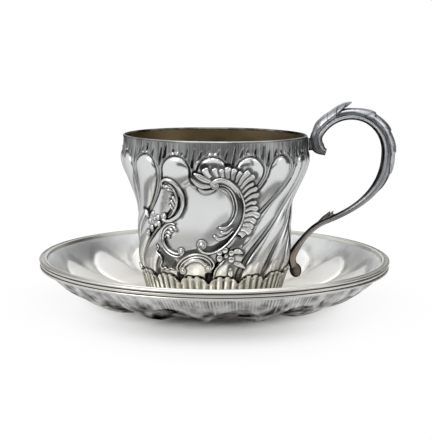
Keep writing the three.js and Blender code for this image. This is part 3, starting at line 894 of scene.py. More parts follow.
@dataclass
class CupWall:
    """The raised wall with spiral lobes, a flamed border and the ground of the cartouche."""

    foot: float
    top: float
    sheet: float = 1.0
    # Outline from the foot to the lip, and the rise of solder under the lip's wire
    foot_radius: float = 25.6
    belly_radius: float = 30.5
    belly_height: float = 18.7
    belly_power: float = 1.3
    waist_radius: float = 30.8
    waist_height: float = 36.5
    shoulder_radius: float = 38.0
    shoulder_height: float = 59.3
    lip_radius: float = 37.7
    lip_height: float = 67.4
    solder: float = 0.3
    # Lobes, from their toes above the collar to their arches under the border
    lobe_rise: float = 1.3
    lobe_share: float = 0.39
    first_lobe: float = math.radians(-1.5)
    arch_height: float = 55.2
    twist: float = math.radians(59.0)
    twist_top: float = 55.7
    twist_bottom: float = 11.7
    swell_start: float = 13.3
    swell_height: float = 0.7
    toe_drop: float = 2.3
    toe_phases: Pair = (0.22, 0.47)
    # Chased line round each lobe, rib beside it, and the pit and seam at the toes, which painted shade
    # darkens with the oxide
    line_place: float = -0.2
    line_half: float = 0.5
    line_depth: float = 0.3
    rib_place: float = -1.0
    rib_half: float = 0.42
    rib_rise: float = 0.3
    pit_depth: float = 0.4
    # Border above the arches: tapered strokes, and a pair of small leaves on each peak
    flame_phases: tuple[float, ...] = (-0.47, -0.27, -0.07, 0.13, 0.33)
    flame_tops: Pair = (63.0, 65.9)
    flame_base: float = 60.6
    flame_drop: float = 3.4
    flame_depth: float = 0.25
    tick_height: float = 1.1
    tick_rise: float = 0.35
    # Ground of the cartouche
    ground_rise: float = 1.1
    ground: Chart = (
        (-25.0, 53.4), (-19.0, 52.4), (-14.5, 54.6), (-12.0, 56.8), (-5.6, 58.9), (2.0, 59.2),
        (10.0, 59.3), (18.5, 57.9), (24.0, 56.0), (27.0, 50.6), (30.5, 44.0), (32.2, 38.0),
        (30.2, 34.0), (26.5, 29.8), (20.0, 26.8), (12.0, 27.0), (2.0, 24.2), (0.8, 20.0),
        (-1.9, 16.5), (-14.0, 15.6), (-26.6, 15.8), (-29.0, 17.0), (-41.6, 16.6), (-40.4, 20.0),
        (-45.6, 25.6), (-42.6, 29.0), (-41.6, 32.6), (-38.0, 35.2), (-34.0, 36.4), (-27.0, 38.6),
        (-23.0, 41.8), (-21.4, 45.0), (-21.6, 48.4), (-23.4, 51.2),
    )
    # Rows of the mesh
    lobed_rows: Pair = (10.0, 52.6)
    crowd: float = 0.48
    seed: int = 11
    # Tones, from 0 for bright to 1 for oxide: pairs run from the shoulder to the foot
    line_tone: float = 0.97
    groove_tone: Pair = (0.66, 0.92)

    def radius(self, height: Array) -> Array:
        """Radius of the wall without its lobes at heights above the foot."""
        height = np.asarray(height, float)
        low = 1.0 - (1.0 - np.clip(height / self.belly_height, 0.0, 1.0)) ** self.belly_power
        value = mixed(self.foot_radius, self.belly_radius, low)
        waist = smooth(self.belly_height, self.waist_height, height)
        value = value + (self.waist_radius - self.belly_radius) * waist
        shoulder = smooth(self.waist_height, self.shoulder_height, height)
        value = value + (self.shoulder_radius - self.waist_radius) * shoulder
        lip = smooth(self.shoulder_height, self.lip_height, height)
        return value + (self.lip_radius - self.shoulder_radius) * lip

    def turn(self, height: Array) -> Array:
        """How far the lobes have turned at a height."""
        return -self.twist * (1.0 - smooth(self.twist_bottom, self.twist_top, height))

    def columns(self, count: int, height: float) -> tuple[Array, Array]:
        """Phase and angle of a row's vertices, crowded towards the grooves below the arches."""
        ease = 1.0 - 0.7 * float(smooth(50.0, 58.0, height))
        phase, angle = lobe_places(count, self.crowd * ease)
        return phase, angle + self.first_lobe + self.turn(height)

    def flames(self, angle: Array, height: float) -> Array:
        """Depth of the tapered strokes in the border above the arches.

        Args:
            angle: angles round the axis.
            height: height above the foot.

        Returns:
            The strokes' depth at each angle, from 0 to 1.
        """
        rng = np.random.default_rng(self.seed)
        depth = np.zeros(len(angle))
        radius = float(self.radius(height))
        for lobe in range(LOBES):
            for phase in self.flame_phases:
                jitter = rng.uniform(-0.05, 0.05)
                reach = rng.uniform(*self.flame_tops)
                weight = rng.uniform(0.8, 1.3)
                drop = float(smooth(0.25, 0.5, abs(phase + jitter)))
                start = self.flame_base - self.flame_drop * drop
                if not start < height < reach:
                    continue
                share = (height - start) / (reach - start)
                lean = math.radians(1.6) * (share - 0.5)
                middle = (lobe + phase + jitter) * PITCH + self.first_lobe + lean
                away = wrapped(angle - middle) * radius
                half = 0.2 + 0.72 * weight * (1.0 - share) ** 0.7
                depth = np.maximum(depth, ridge(away, 0.0, half))
        return np.clip(1.7 * depth, 0.0, 1.0)

    def relief(self, phase: Array, angle: Array, height: float) -> tuple[Array, ...]:
        """Chasing of the wall.

        Args:
            phase: place across the lobe, from -0.5 to 0.5.
            angle: angle round the axis.
            height: height above the foot.

        Returns:
            Rise, darkness from oxide and painted shade, and matting.
        """
        pitch = PITCH * (float(self.radius(height)) + self.lobe_rise)
        half = self.lobe_share * pitch
        past = max(0.0, height - self.arch_height)
        depth = half - np.hypot(phase * pitch, past)
        line = ridge(depth, self.line_place, self.line_half)
        rib = ridge(depth, self.rib_place, self.rib_half)
        floor = smooth(0.0, -0.4, depth)
        border = float(smooth(1.0, 5.0, past))
        above = height - self.swell_start + self.toe_drop * smooth(*self.toe_phases, np.abs(phase))
        swell = smooth(0.0, self.swell_height, above)
        seam_shade = smooth(1.1, 0.5, above)
        pit = smooth(0.36, 0.43, np.abs(phase)) * smooth(5.5, 3.0, above)
        tick = self.ticks(phase * pitch, past - half)
        flame = np.zeros(len(angle))
        if border:
            flame = self.flames(angle, height) * smooth(-0.5, -1.2, depth)
        rise = swell * (self.lobe_rise * dome(depth, half) - self.line_depth * line + self.rib_rise * rib)
        rise = rise - self.flame_depth * flame + self.tick_rise * tick - self.pit_depth * pit
        low = float(smooth(38.0, 20.0, height))
        groove = mixed(*self.groove_tone, low) - mixed(0.5, 0.3, low) * rib
        hatch = np.random.default_rng(self.seed).random(len(phase))
        tarnish = np.clip(self.line_tone * line + groove * floor * (1.0 - border), 0.0, 1.0)
        # Painted shade in the seam over the collar and in the pits, and in the matted border beside its
        # oxide, for the dark room it reflects
        for dark in (0.95 * flame, border * floor * mixed(0.4, 0.84, hatch), 0.4 * seam_shade, 0.93 * pit):
            tarnish = np.maximum(tarnish, dark)
        return rise, tarnish * (1.0 - 0.9 * tick), floor * mixed(0.4, 0.5, border)

    def ticks(self, across: Array, up: float) -> Array:
        """Height of the pair of small leaves on an arch's peak, from 0 to 1.

        Args:
            across: distances from the lobe's middle.
            up: height above the peak.

        Returns:
            The leaves' height at each place.
        """
        value = np.zeros(len(across))
        wide, tall = 0.45, 0.9
        for start, lean in ((-0.5, -0.5), (0.7, 0.45)):
            away = np.hypot((across - start - lean * up) / wide, (up - self.tick_height) / tall)
            value = np.maximum(value, ridge(away, 0.0, 1.0))
        return value

    def inner_rise(self, phase: Array, angle: Array, height: float) -> Array:
        """How far the lobes press the inside of the wall outwards.

        Args:
            phase: place across the lobe, from -0.5 to 0.5.
            angle: angle round the axis.
            height: height above the foot.

        Returns:
            The rise at each place.
        """
        swell = float(smooth(self.swell_start, self.swell_start + 12.0, height))
        past = np.clip((height - self.arch_height) / 6.0, 0.0, 1.0)
        hollow = np.sqrt(np.clip(1.0 - (2.0 * phase) ** 2 - past**2, 0.0, 1.0))
        beside = smooth(0.5, 0.9, np.abs(wrapped(angle)))
        return 0.5 * self.lobe_rise * swell * hollow * beside

    def chart(self, angle: Array, height: Array) -> Array:
        """Places on the unrolled wall, across and up in millimetres from the front."""
        across = wrapped(angle) * (self.radius(height) + self.ground_rise)
        return np.stack(np.broadcast_arrays(across, height), axis=-1)

    def chart_of(self, line: Chart) -> Array:
        """Places on the unrolled wall of points given in degrees and heights above the table."""
        points = np.asarray(line, float)
        return self.chart(np.radians(points[:, 0]), points[:, 1] - self.foot)

    def unroll(self, chart: Array) -> tuple[Array, Array]:
        """Angle and height of places on the unrolled wall."""
        height = chart[:, 1]
        return chart[:, 0] / (self.radius(height) + self.ground_rise), height

    def surface(self, angle: Array, height: Array) -> tuple[Array, Array]:
        """Points on the cartouche's ground and the wall's direction there.

        Args:
            angle: angles round the axis.
            height: heights above the foot.

        Returns:
            The points, and unit vectors that point out of the wall.
        """
        step = 0.1
        slope = (self.radius(height + step) - self.radius(height - step)) / (2.0 * step)
        normal = on_axis(angle, 1.0, -slope)
        normal /= np.linalg.norm(normal, axis=1)[:, None]
        return on_axis(angle, self.radius(height) + self.ground_rise, height + self.foot), normal

    def build(self, cartouche: "Cartouche", finish: Material, gilding: Material) -> Object:
        """Raise and chase the wall.

        Args:
            cartouche: the ornament whose ground and lines mark the wall.
            finish: the outside's material.
            gilding: the inside's material.

        Returns:
            The piece.
        """
        coarse, middle, fine = LOBES * 18, LOBES * 36, LOBES * 72
        top = self.top + self.solder
        under_lip, above_foot = 0.6, 2.0
        outer = [(h, middle) for h in (0.0, 5.0, 9.0)]
        outer += [(h, middle) for h in np.linspace(*self.lobed_rows, 92)]
        outer += [(h, fine) for h in np.linspace(53.0, top, 30)]
        inner = [(top, middle)]
        inner += [(h, coarse) for h in np.linspace(top - under_lip, above_foot, 34)]
        inner += [(0.0, coarse)]
        draft = Draft()
        rows = []
        for height, count in outer:
            phase, angle = self.columns(count, height)
            rise, tarnish, matting = cartouche.mark(angle, height, *self.relief(phase, angle, height))
            place = on_axis(angle, self.radius(height) + rise, height + self.foot)
            rows.append(draft.row(place, tarnish, matting))
        for height, count in inner:
            phase, angle = self.columns(count, height)
            radius = self.radius(height) - self.sheet + self.inner_rise(phase, angle, height)
            rows.append(draft.row(on_axis(angle, radius, height + self.foot)))
        for number, (low, high) in enumerate(zip(rows, rows[1:] + rows[:1])):
            draft.stitch(low, high, Face.INSIDE if number >= len(outer) else Face.OUTSIDE)
        return draft.build("cup_wall_chased", finish, gilding)


# Cartouche


@dataclass(frozen=True)
class Stroke:
    """A raised stroke of the cartouche, as (degrees, height above the table) points along it."""

    line: Chart
    half: float
    rise: float
    taper: Taper = Taper.BAND
    tail: float = 0.6
    tip: float = 0.6
    offset: float = 0.0


UPPER_SCROLL: Chart = (
    (-34.6, 50.4), (-34.0, 52.2), (-30.7, 53.5), (-26.4, 53.0), (-23.4, 51.1), (-21.7, 48.3),
    (-21.5, 44.9), (-23.0, 41.8), (-26.1, 39.0), (-30.8, 37.1), (-35.9, 36.2), (-39.7, 36.7),
)
UPPER_INNER: Chart = (
    (-29.9, 51.5), (-27.0, 50.5), (-25.7, 47.7), (-25.8, 44.8), (-27.8, 42.0), (-31.0, 39.2),
    (-34.3, 37.8),
)
LOWER_SCROLL: Chart = (
    (-28.9, 35.3), (-33.1, 35.4), (-37.8, 34.0), (-40.8, 31.5), (-41.4, 28.7), (-39.7, 26.1),
    (-35.7, 23.9), (-30.8, 22.7), (-26.3, 22.5), (-22.7, 23.6),
)
BIG_SCROLL: Chart = (
    (-2.5, 52.5), (-0.7, 53.9), (2.8, 54.8), (6.6, 54.3), (10.5, 52.7), (14.4, 50.2), (17.7, 46.9),
    (20.0, 43.4), (20.3, 39.8), (18.8, 36.4), (16.0, 33.5), (12.2, 30.5), (7.3, 27.6), (2.0, 25.5),
    (-3.6, 24.6), (-8.2, 25.1), (-11.0, 26.6),
)
BIG_INNER: Chart = (
    (2.9, 52.0), (6.6, 51.6), (10.2, 49.8), (13.0, 46.9), (14.9, 43.5), (15.0, 40.8), (13.6, 38.2),
    (10.5, 35.8), (6.4, 34.7),
)
FOOT_SCROLL: Chart = (
    (-26.6, 16.6), (-27.6, 18.2), (-25.2, 20.4), (-20.7, 22.5), (-15.0, 23.8), (-9.4, 24.0),
    (-4.9, 23.2), (-1.6, 21.6), (-0.2, 19.8), (-1.9, 18.1),
)
FOOT_INNER: Chart = ((-22.9, 18.2), (-19.7, 20.2), (-15.1, 21.5), (-10.0, 21.4), (-7.1, 20.2))
LEFT_FRILL: Chart = (
    (-45.5, 26.0), (-44.0, 25.0), (-46.4, 23.5), (-42.2, 21.8), (-40.8, 19.6), (-42.6, 17.9),
    (-40.8, 16.7), (-38.2, 17.5), (-36.0, 16.7), (-33.0, 17.5), (-30.0, 16.9),
)


@dataclass
class Cartouche:
    """Scrolls, shell, leaves and flowers in relief on the wall, round a plain reserve."""

    wall: CupWall
    sink: float = 1.7
    step: float = 0.35
    coil_size: float = 1.28
    scrolls: tuple[Stroke, ...] = (
        Stroke(UPPER_SCROLL, 0.85, 1.15, tail=0.45, tip=0.7),
        Stroke(UPPER_INNER, 0.5, 0.75, tail=0.3, tip=0.5),
        Stroke(LOWER_SCROLL, 0.45, 0.9),
        Stroke(LOWER_SCROLL, 0.5, 0.95, offset=1.2, tail=0.3),
        Stroke(BIG_SCROLL, 0.5, 1.25, tail=0.8, tip=1.3),
        Stroke(BIG_SCROLL[:7], 1.15, 1.2, tail=0.6, tip=0.1, offset=-0.75),
        Stroke(BIG_INNER, 0.42, 0.8, tail=0.5, tip=1.0),
        Stroke(BIG_INNER, 0.3, 0.4, offset=-1.1, tail=0.4, tip=0.3),
        Stroke(FOOT_SCROLL, 0.5, 0.95, tail=0.7, tip=0.7),
        Stroke(FOOT_SCROLL[1:-1], 0.5, 0.9, offset=-1.15, tail=0.4, tip=0.4),
        Stroke(FOOT_INNER, 0.75, 1.0, tail=0.4, tip=0.9),
        Stroke(((7.0, 21.6), (1.2, 18.1), (-0.3, 15.2)), 0.35, 0.45),
        Stroke(LEFT_FRILL, 0.38, 0.7),
    )
    curls: tuple[Stroke, ...] = tuple(
        Stroke(line, 0.7, 1.0, Taper.COMMA)
        for line in (
            ((-27.2, 43.0), (-27.2, 45.2), (-28.3, 47.0)),
            ((-28.3, 41.6), (-29.0, 43.6), (-30.2, 45.4)),
            ((-29.6, 40.4), (-30.6, 42.0), (-31.9, 43.4)),
            ((-27.0, 50.0), (-29.8, 50.7), (-32.6, 50.6)),
            ((-27.0, 48.8), (-29.2, 49.5), (-31.2, 49.4)),
            ((-33.8, 34.4), (-30.4, 34.4), (-27.4, 32.9)),
            ((-36.0, 33.2), (-33.1, 33.4), (-30.0, 32.2)),
            ((-37.6, 31.2), (-35.2, 32.1), (-31.8, 31.2)),
            ((-37.8, 29.6), (-35.7, 30.7), (-33.0, 29.9)),
            ((12.0, 36.2), (7.0, 34.7), (2.4, 34.6)),
            ((12.8, 34.6), (8.2, 32.7), (3.6, 33.2)),
            ((13.2, 33.2), (8.0, 31.0), (3.0, 30.2), (-0.8, 31.8)),
        )
    )
    leaves: tuple[Stroke, ...] = (
        Stroke(((-1.6, 53.0), (-6.5, 54.4), (-12.3, 56.4)), 1.35, 0.9, Taper.LEAF),
        Stroke(((-1.8, 51.4), (-8.5, 51.6), (-14.2, 54.4)), 1.15, 0.75, Taper.LEAF),
        Stroke(((-10.2, 50.3), (-5.8, 48.9), (0.2, 50.0)), 0.95, 0.5, Taper.LEAF),
        Stroke(((13.4, 24.6), (16.6, 25.2), (20.9, 24.2)), 1.1, 0.8, Taper.LEAF),
        Stroke(((13.6, 20.4), (18.0, 19.8), (23.2, 18.0)), 0.9, 0.5, Taper.LEAF),
        Stroke(((12.6, 14.6), (11.8, 16.6), (12.0, 18.7)), 1.15, 0.8, Taper.LEAF),
        Stroke(((-61.3, 39.6), (-58.4, 38.4), (-55.4, 36.4)), 0.8, 0.7, Taper.LEAF),
    )
    flutes: tuple[Chart, ...] = (
        ((-2.6, 55.2), (-5.6, 58.3)), ((1.5, 55.4), (-0.5, 58.9)), ((4.6, 55.2), (3.6, 58.8)),
        ((7.6, 54.9), (7.4, 58.8)), ((10.4, 54.2), (11.2, 58.6)), ((12.6, 53.2), (15.4, 58.0)),
        ((14.4, 52.0), (19.6, 57.0)), ((15.9, 50.7), (23.2, 55.4)), ((17.4, 49.0), (24.9, 53.0)),
        ((18.8, 47.0), (26.8, 50.2)), ((20.1, 45.2), (28.6, 47.3)), ((21.0, 43.2), (30.2, 44.4)),
        ((21.4, 41.2), (31.2, 41.4)), ((21.3, 39.2), (31.8, 38.6)), ((20.8, 37.2), (31.0, 36.1)),
        ((19.8, 35.4), (28.2, 34.0)), ((18.4, 33.8), (25.0, 32.4)), ((16.8, 32.4), (21.6, 31.0)),
    )
    flute_half: float = 1.42
    flute_rise: float = 1.15
    flute_lean: float = 0.3
    flute_group: float = 3.2
    flute_wave: float = 0.13
    flute_bow: float = 0.09
    bulbs: tuple[tuple[float, float, float], ...] = (
        # Ends of the scrolls
        (-38.7, 38.0, 1.3), (-32.9, 50.6, 0.8), (-24.2, 24.7, 1.5), (0.1, 51.7, 1.6),
        (-8.8, 27.9, 2.0), (-23.2, 16.9, 1.5), (-4.1, 18.4, 1.3), (-6.6, 19.9, 0.8),
        # Flower at the lower right
        (8.4, 23.3, 0.75), (12.2, 21.9, 1.25), (3.7, 22.4, 1.25), (7.5, 25.7, 1.2),
        (3.6, 24.7, 1.1), (12.1, 24.5, 1.1),
        # Flower and buds at the left
        (-50.2, 38.4, 1.0), (-44.7, 37.2, 1.1), (-44.1, 34.8, 1.1), (-48.4, 36.5, 0.8),
        (-53.8, 35.3, 1.0), (-51.6, 32.8, 1.1), (-56.6, 30.2, 1.4),
    )
    # Sunk channels between the scrolls, dark with oxide and with the painted shadow of the scrolls beside
    # them
    channel_and_shade_lines: tuple[tuple[Chart, float], ...] = (
        (((-37.9, 28.5), (-35.5, 26.2), (-31.8, 24.5), (-27.7, 23.8)), 1.0),
        (
            (
                (17.6, 43.4), (17.8, 40.0), (16.4, 36.8), (13.6, 33.8), (9.4, 30.6), (4.4, 28.0),
                (-1.0, 26.4), (-6.0, 26.4),
            ),
            1.3,
        ),
        (((4.0, 53.0), (8.6, 52.2), (12.2, 49.8), (15.4, 46.6), (17.4, 43.4)), 0.7),
        (((-26.0, 22.0), (-20.0, 24.4), (-13.0, 25.4), (-12.0, 24.4)), 0.9),
        (((-20.6, 49.6), (-19.3, 45.6), (-20.4, 41.6), (-23.6, 38.4)), 0.75),
    )
    reserve: Chart = (
        (-18.6, 51.0), (-16.0, 52.5), (-13.8, 51.0), (-10.2, 50.0), (-5.3, 48.4), (-0.3, 49.7),
        (3.4, 50.3), (8.0, 48.3), (11.1, 44.9), (11.7, 40.8), (9.0, 36.8), (1.3, 34.8),
        (-2.2, 30.1), (-10.0, 29.5), (-13.7, 25.8), (-25.1, 25.8), (-31.7, 29.5), (-27.4, 32.9),
        (-21.0, 39.6), (-18.3, 44.6),
    )
    clouds: tuple[Chart, ...] = (
        ((8.2, 40.4), (3.3, 39.0), (-0.9, 36.4), (-6.8, 31.6), (-5.7, 29.6), (-0.1, 29.7), (11.2, 36.8)),
        ((1.0, 49.3), (3.4, 49.9), (6.3, 48.9), (5.9, 47.0), (3.0, 46.6)),
    )
    reserve_foot: float = 26.0
    reserve_waist: float = 36.5
    reserve_rise: float = 0.45
    reserve_slope: float = 0.3
    reserve_bend: Pair = (34.0, 50.0)
    stippled: Chart = (
        (-34.0, 51.0), (-28.5, 51.4), (-25.0, 48.6), (-24.6, 44.6), (-27.0, 41.2), (-31.0, 38.6),
        (-37.0, 37.6), (-41.0, 40.0), (-38.0, 46.0),
    )
    left_panel: Chart = (
        (-42.4, 17.0), (-40.6, 20.0), (-44.6, 25.0), (-41.4, 25.6), (-38.0, 23.6), (-32.0, 22.2),
        (-27.6, 20.6), (-28.6, 17.4),
    )
    right_panel: Chart = (
        (9.6, 25.9), (13.0, 28.4), (15.6, 30.4), (18.0, 32.6), (20.4, 34.7), (26.0, 34.7), (24.0, 31.4),
        (18.5, 26.2),
    )
    right_share: float = 0.72
    # Part of the wall that can carry the ornament, and soft edges of its fields
    front_half: float = math.radians(75.0)
    front_rows: Pair = (12.0, 60.0)
    ground_edge: Pair = (-0.5, 0.5)
    panel_drop: float = 0.7
    band_edge: float = 0.4
    # Ends of the strokes, as shares of their length, and their sections
    curl_end: Pair = (0.75, 0.252)
    root_share: float = 1.1
    # Tones, from 0 for bright to 1 for oxide: second values are what height takes away
    bulb_tone: Pair = (0.9, 1.8)

    @property
    def shell(self) -> list[Stroke]:
        """The shell's flutes as strokes, bowed, and longer and wider in the middle of each ruffle."""
        strokes = []
        for number, line in enumerate(self.flutes):
            size = 1.0 + self.flute_wave * math.cos(TURN * number / self.flute_group)
            base, tip = np.asarray(line)
            reach = size * (tip - base)
            middle = base + reach / 2.0 + self.flute_bow * np.array([-reach[1], reach[0]])
            bowed = (tuple(base), tuple(middle), tuple(base + reach))
            strokes.append(Stroke(bowed, size * self.flute_half, size * self.flute_rise, Taper.FLUTE))
        return strokes

    @property
    def strokes(self) -> list[Stroke]:
        """All raised strokes."""
        return [*self.scrolls, *self.curls, *self.leaves, *self.shell]

    def depth_in(self, outline: Chart, places: Array) -> Array:
        """How far inside an outline of the wall's chart places lie."""
        return inside_of(self.wall.chart_of(outline), places)

    def reserve_level(self, height: float) -> float:
        """Rise of the plain reserve, which bows less than the wall behind it.

        Args:
            height: height above the foot.

        Returns:
            The rise over the wall without its lobes.
        """
        start, stop = self.reserve_bend
        bent = min(max(height - start, 0.0), stop - start)
        level = self.wall.ground_rise
        level += self.reserve_rise * float(smooth(self.reserve_foot, self.reserve_waist, height))
        level += float(self.wall.radius(min(height, self.reserve_waist)) - self.wall.radius(height))
        return level + self.reserve_slope * (0.5 * bent**2 / (stop - start) + max(0.0, height - stop))

    def oxide_and_shade_outlines(self, places: Array) -> Array:
        """Dark lines beside the strokes and the bosses: oxide in the chased lines, with painted contact
        shade.

        Args:
            places: places on the unrolled wall.

        Returns:
            The lines' strength at each place, from 0 to 1.
        """
        edge = np.zeros(len(places))
        for stroke in self.strokes:
            reach = 0.4 if stroke.taper is Taper.COMMA else 0.85
            away = distance_to(self.offset_line(stroke)[::3], places)
            line = smooth(stroke.half + reach, stroke.half + 0.05, away)
            edge = np.maximum(edge, line)
        for across, up, size in self.bulbs:
            away = np.linalg.norm(places - self.wall.chart_of(((across, up),)), axis=1)
            edge = np.maximum(edge, smooth(size + 0.7, size, away))
        return edge

    def bands(self, places: Array) -> Array:
        """Broad sunk lines between the scrolls, dark with oxide and painted shadow.

        Args:
            places: places on the unrolled wall.

        Returns:
            The lines' strength at each place, from 0 to 1.
        """
        band = np.zeros(len(places))
        for line, half in self.channel_and_shade_lines:
            away = distance_to(self.wall.chart_of(line), places)
            band = np.maximum(band, smooth(half + self.band_edge, half - self.band_edge, away))
        return band

    def mark(
        self, angle: Array, height: float, rise: Array, tarnish: Array, matting: Array
    ) -> tuple[Array, Array, Array]:
        """Clear the ground of the cartouche from the lobes and darken the wall beside its lines with
        oxide and painted shade.

        Args:
            angle: angles of a row of the wall.
            height: its height above the foot.
            rise: the row's chasing.
            tarnish: how dark it is.
            matting: how matt it is.

        Returns:
            The three, as they are with the cartouche.
        """
        low, high = self.front_rows
        near = (np.abs(wrapped(angle)) < self.front_half) & (low < height < high)
        if not near.any():
            return rise, tarnish, matting
        rise, tarnish, matting = rise.copy(), tarnish.copy(), matting.copy()
        places = self.wall.chart(angle, height)[near]
        ground = smooth(*self.ground_edge, self.depth_in(self.wall.ground, places))
        left, right = (
            smooth(-0.2, 0.6, self.depth_in(panel, places))
            for panel in (self.left_panel, self.right_panel)
        )
        drop = np.maximum(left, self.right_share * right)
        reserve = smooth(-1.9, 0.5, self.depth_in(self.reserve, places))
        punched = smooth(0.0, 0.8, self.depth_in(self.stippled, places))
        band = self.bands(places)
        swell = float(smooth(0.0, self.wall.swell_height, height - self.wall.swell_start))
        level = self.wall.ground_rise * swell - self.panel_drop * drop
        level = mixed(level, self.reserve_level(height), reserve)
        rise[near] = mixed(rise[near], level - 0.25 * band, ground)
        grain = np.random.default_rng(int(height * 100)).random(len(places))
        # Oxide and painted shade beside the strokes and in the channels
        tones = [
            tarnish[near] * (1.0 - ground),
            0.9 * self.oxide_and_shade_outlines(places),
            0.84 * band,
            mixed(0.8, 1.0, grain) * drop,
            mixed(0.06, 0.4, grain > 0.7) * punched,
        ]
        for cloud in self.clouds:
            tones.append(0.36 * smooth(-1.6, 1.4, self.depth_in(cloud, places)))
        tarnish[near] = np.maximum.reduce(tones)
        matt = np.maximum(0.8 * drop, 0.3 * punched)
        matting[near] = np.maximum(matting[near] * (1.0 - ground), matt)
        return rise, tarnish, matting

    def offset_line(self, stroke: Stroke) -> Array:
        """The stroke's line on the unrolled wall, moved to its left by its offset."""
        line = spline(self.wall.chart_of(stroke.line), self.step)
        ahead = directions(line)
        return line + stroke.offset * np.column_stack([-ahead[:, 1], ahead[:, 0]])

    def sizes(self, stroke: Stroke, share: Array) -> Array:
        """Share of its full size that a stroke has along its line.

        Args:
            stroke: the stroke.
            share: places along it, from 0 to 1.

        Returns:
            The share of its width and rise at each place.
        """
        if stroke.taper is Taper.COMMA:
            swell = mixed(0.35, 1.0, smooth(0.0, 0.8, share))
            return swell * round_end(share, *self.curl_end)
        if stroke.taper is Taper.LEAF:
            early, full = 0.85, 0.75
            return mixed(0.06, 1.0, np.sin(math.pi * share**early) ** full)
        if stroke.taper is Taper.FLUTE:
            return mixed(0.42, 1.0, share) * round_end(share, 0.8, 0.205)
        tail_end, tip_start = 0.25, 0.75
        tail = mixed(stroke.tail, 1.0, smooth(0.0, tail_end, share))
        return tail * mixed(1.0, stroke.tip, smooth(tip_start, 1.0, share))

    def raise_stroke(self, draft: Draft, stroke: Stroke) -> None:
        """Add a stroke's relief, half round above the wall and sunk into it.

        Args:
            draft: the mesh being made.
            stroke: the stroke.
        """
        line = self.offset_line(stroke)
        points, normal = self.wall.surface(*self.wall.unroll(line))
        left = np.cross(normal, directions(points))
        size = self.sizes(stroke, np.linspace(0.0, 1.0, len(line)))
        arc = np.linspace(0.0, math.pi, 13)
        across = np.concatenate([np.cos(arc), [-self.root_share, self.root_share]])
        up = np.sin(arc)
        if stroke.taper is Taper.LEAF:
            up = up - 0.3 * ridge(np.cos(arc), 0.0, 0.22)
        if stroke.taper in (Taper.FLUTE, Taper.COMMA):
            up = up**0.6
        if stroke.taper is Taper.FLUTE:
            up = up * (1.0 + self.flute_lean * np.cos(arc))
        wide = (size * stroke.half)[:, None] * across
        root = np.full((len(line), 2), -self.sink)
        high = np.column_stack([(size * stroke.rise)[:, None] * up, root])
        rings = points[:, None] + wide[..., None] * left[:, None] + high[..., None] * normal[:, None]
        deep, clean = 0.95, 1.6
        dark = np.concatenate([np.clip(deep - clean * np.sin(arc), 0.0, 1.0), [1.0, 1.0]])
        draft.tube(rings, np.tile(dark, (len(line), 1)))

    def raise_bulb(self, draft: Draft, across: float, up: float, size: float) -> None:
        """Add a round boss, with a coil on the larger ones.

        Args:
            draft: the mesh being made.
            across: its angle in degrees.
            up: its height above the table.
            size: its radius.
        """
        points, normal = self.wall.surface(np.radians([across]), np.array([up - self.wall.foot]))
        side = np.cross([0.0, 0.0, 1.0], normal[0])
        side /= np.linalg.norm(side)
        rise = np.cross(normal[0], side)
        arc = np.linspace(0.0, 0.48 * math.pi, 12)
        around = np.linspace(0.0, TURN, 20, endpoint=False)
        circle = np.cos(around)[:, None] * side + np.sin(around)[:, None] * rise
        coiled = size > self.coil_size
        coil = coiled * ridge(np.cos(arc), 0.5, 0.32)
        lift = size * ((0.6 if coiled else 0.5) * np.sin(arc) - 0.24 * coil)
        rings = points + size * np.cos(arc)[:, None, None] * circle + lift[:, None, None] * normal
        sunk = points + size * circle - self.sink * normal
        deep, clean = self.bulb_tone
        tone = np.clip(deep - clean * np.sin(arc) + 1.1 * coil, 0.0, 1.0)
        dark = np.concatenate([[1.0], tone])
        draft.tube(np.concatenate([sunk[None], rings]), np.tile(dark[:, None], (1, len(around))))

    def build(self, finish: Material) -> Object:
        """Raise the ornament.

        Args:
            finish: its material.

        Returns:
            The piece.
        """
        draft = Draft()
        for stroke in self.strokes:
            self.raise_stroke(draft, stroke)
        for across, up, size in self.bulbs:
            self.raise_bulb(draft, across, up, size)
        return draft.build("cup_cartouche", finish)


# The cup's other pieces


@dataclass
class FootCollar:
    """A fluted strip round the cup's foot, with a scalloped upper edge."""

    wall: CupWall
    crest: float = 13.7
    notch: float = 11.4
    sheet: float = 0.6
    stand_off: float = 0.4
    flute_depth: float = 0.6
    flutes_per_lobe: int = 4
    scallop: float = 0.4
    roll: float = 0.45
    # Tones, from 0 for bright to 1 for oxide; the back face against the wall takes painted shade
    back_shade: float = 0.9

    def build(self, finish: Material) -> Object:
        """Make the collar.

        Args:
            finish: its material.

        Returns:
            The piece.
        """
        phase, angle = lobe_places(LOBES * 36, 0.0)
        angle = angle + self.wall.first_lobe + float(self.wall.turn(0.0))
        flute = (1.0 - np.cos(TURN * phase * self.flutes_per_lobe)) / 2.0
        arch = 1.0 - smooth(*self.wall.toe_phases, np.abs(phase))
        arch = arch - self.scallop * smooth(0.6, 0.0, flute)
        edge = self.notch + (self.crest - self.notch) * arch
        valley = smooth(0.4, 0.0, flute)
        draft = Draft()
        rows = []
        for share in np.linspace(0.0, 1.0, 26):
            height = edge * share
            rolled = self.roll * float(ridge(share, 0.96, 0.06))
            thick = self.stand_off + self.sheet + self.flute_depth * flute + rolled
            clean = 1.0 - 0.8 * float(smooth(0.9, 1.0, share))
            place = on_axis(angle, self.wall.radius(height) + thick, height + self.wall.foot)
            rows.append(draft.row(place, 0.14 + 0.75 * valley * clean))
        for share in np.linspace(1.0, 0.0, 8):
            height = edge * share
            place = on_axis(angle, self.wall.radius(height) + self.stand_off, height + self.wall.foot)
            rows.append(draft.row(place, self.back_shade))
        draft.close(rows)
        return draft.build("foot_collar_fluted", finish)


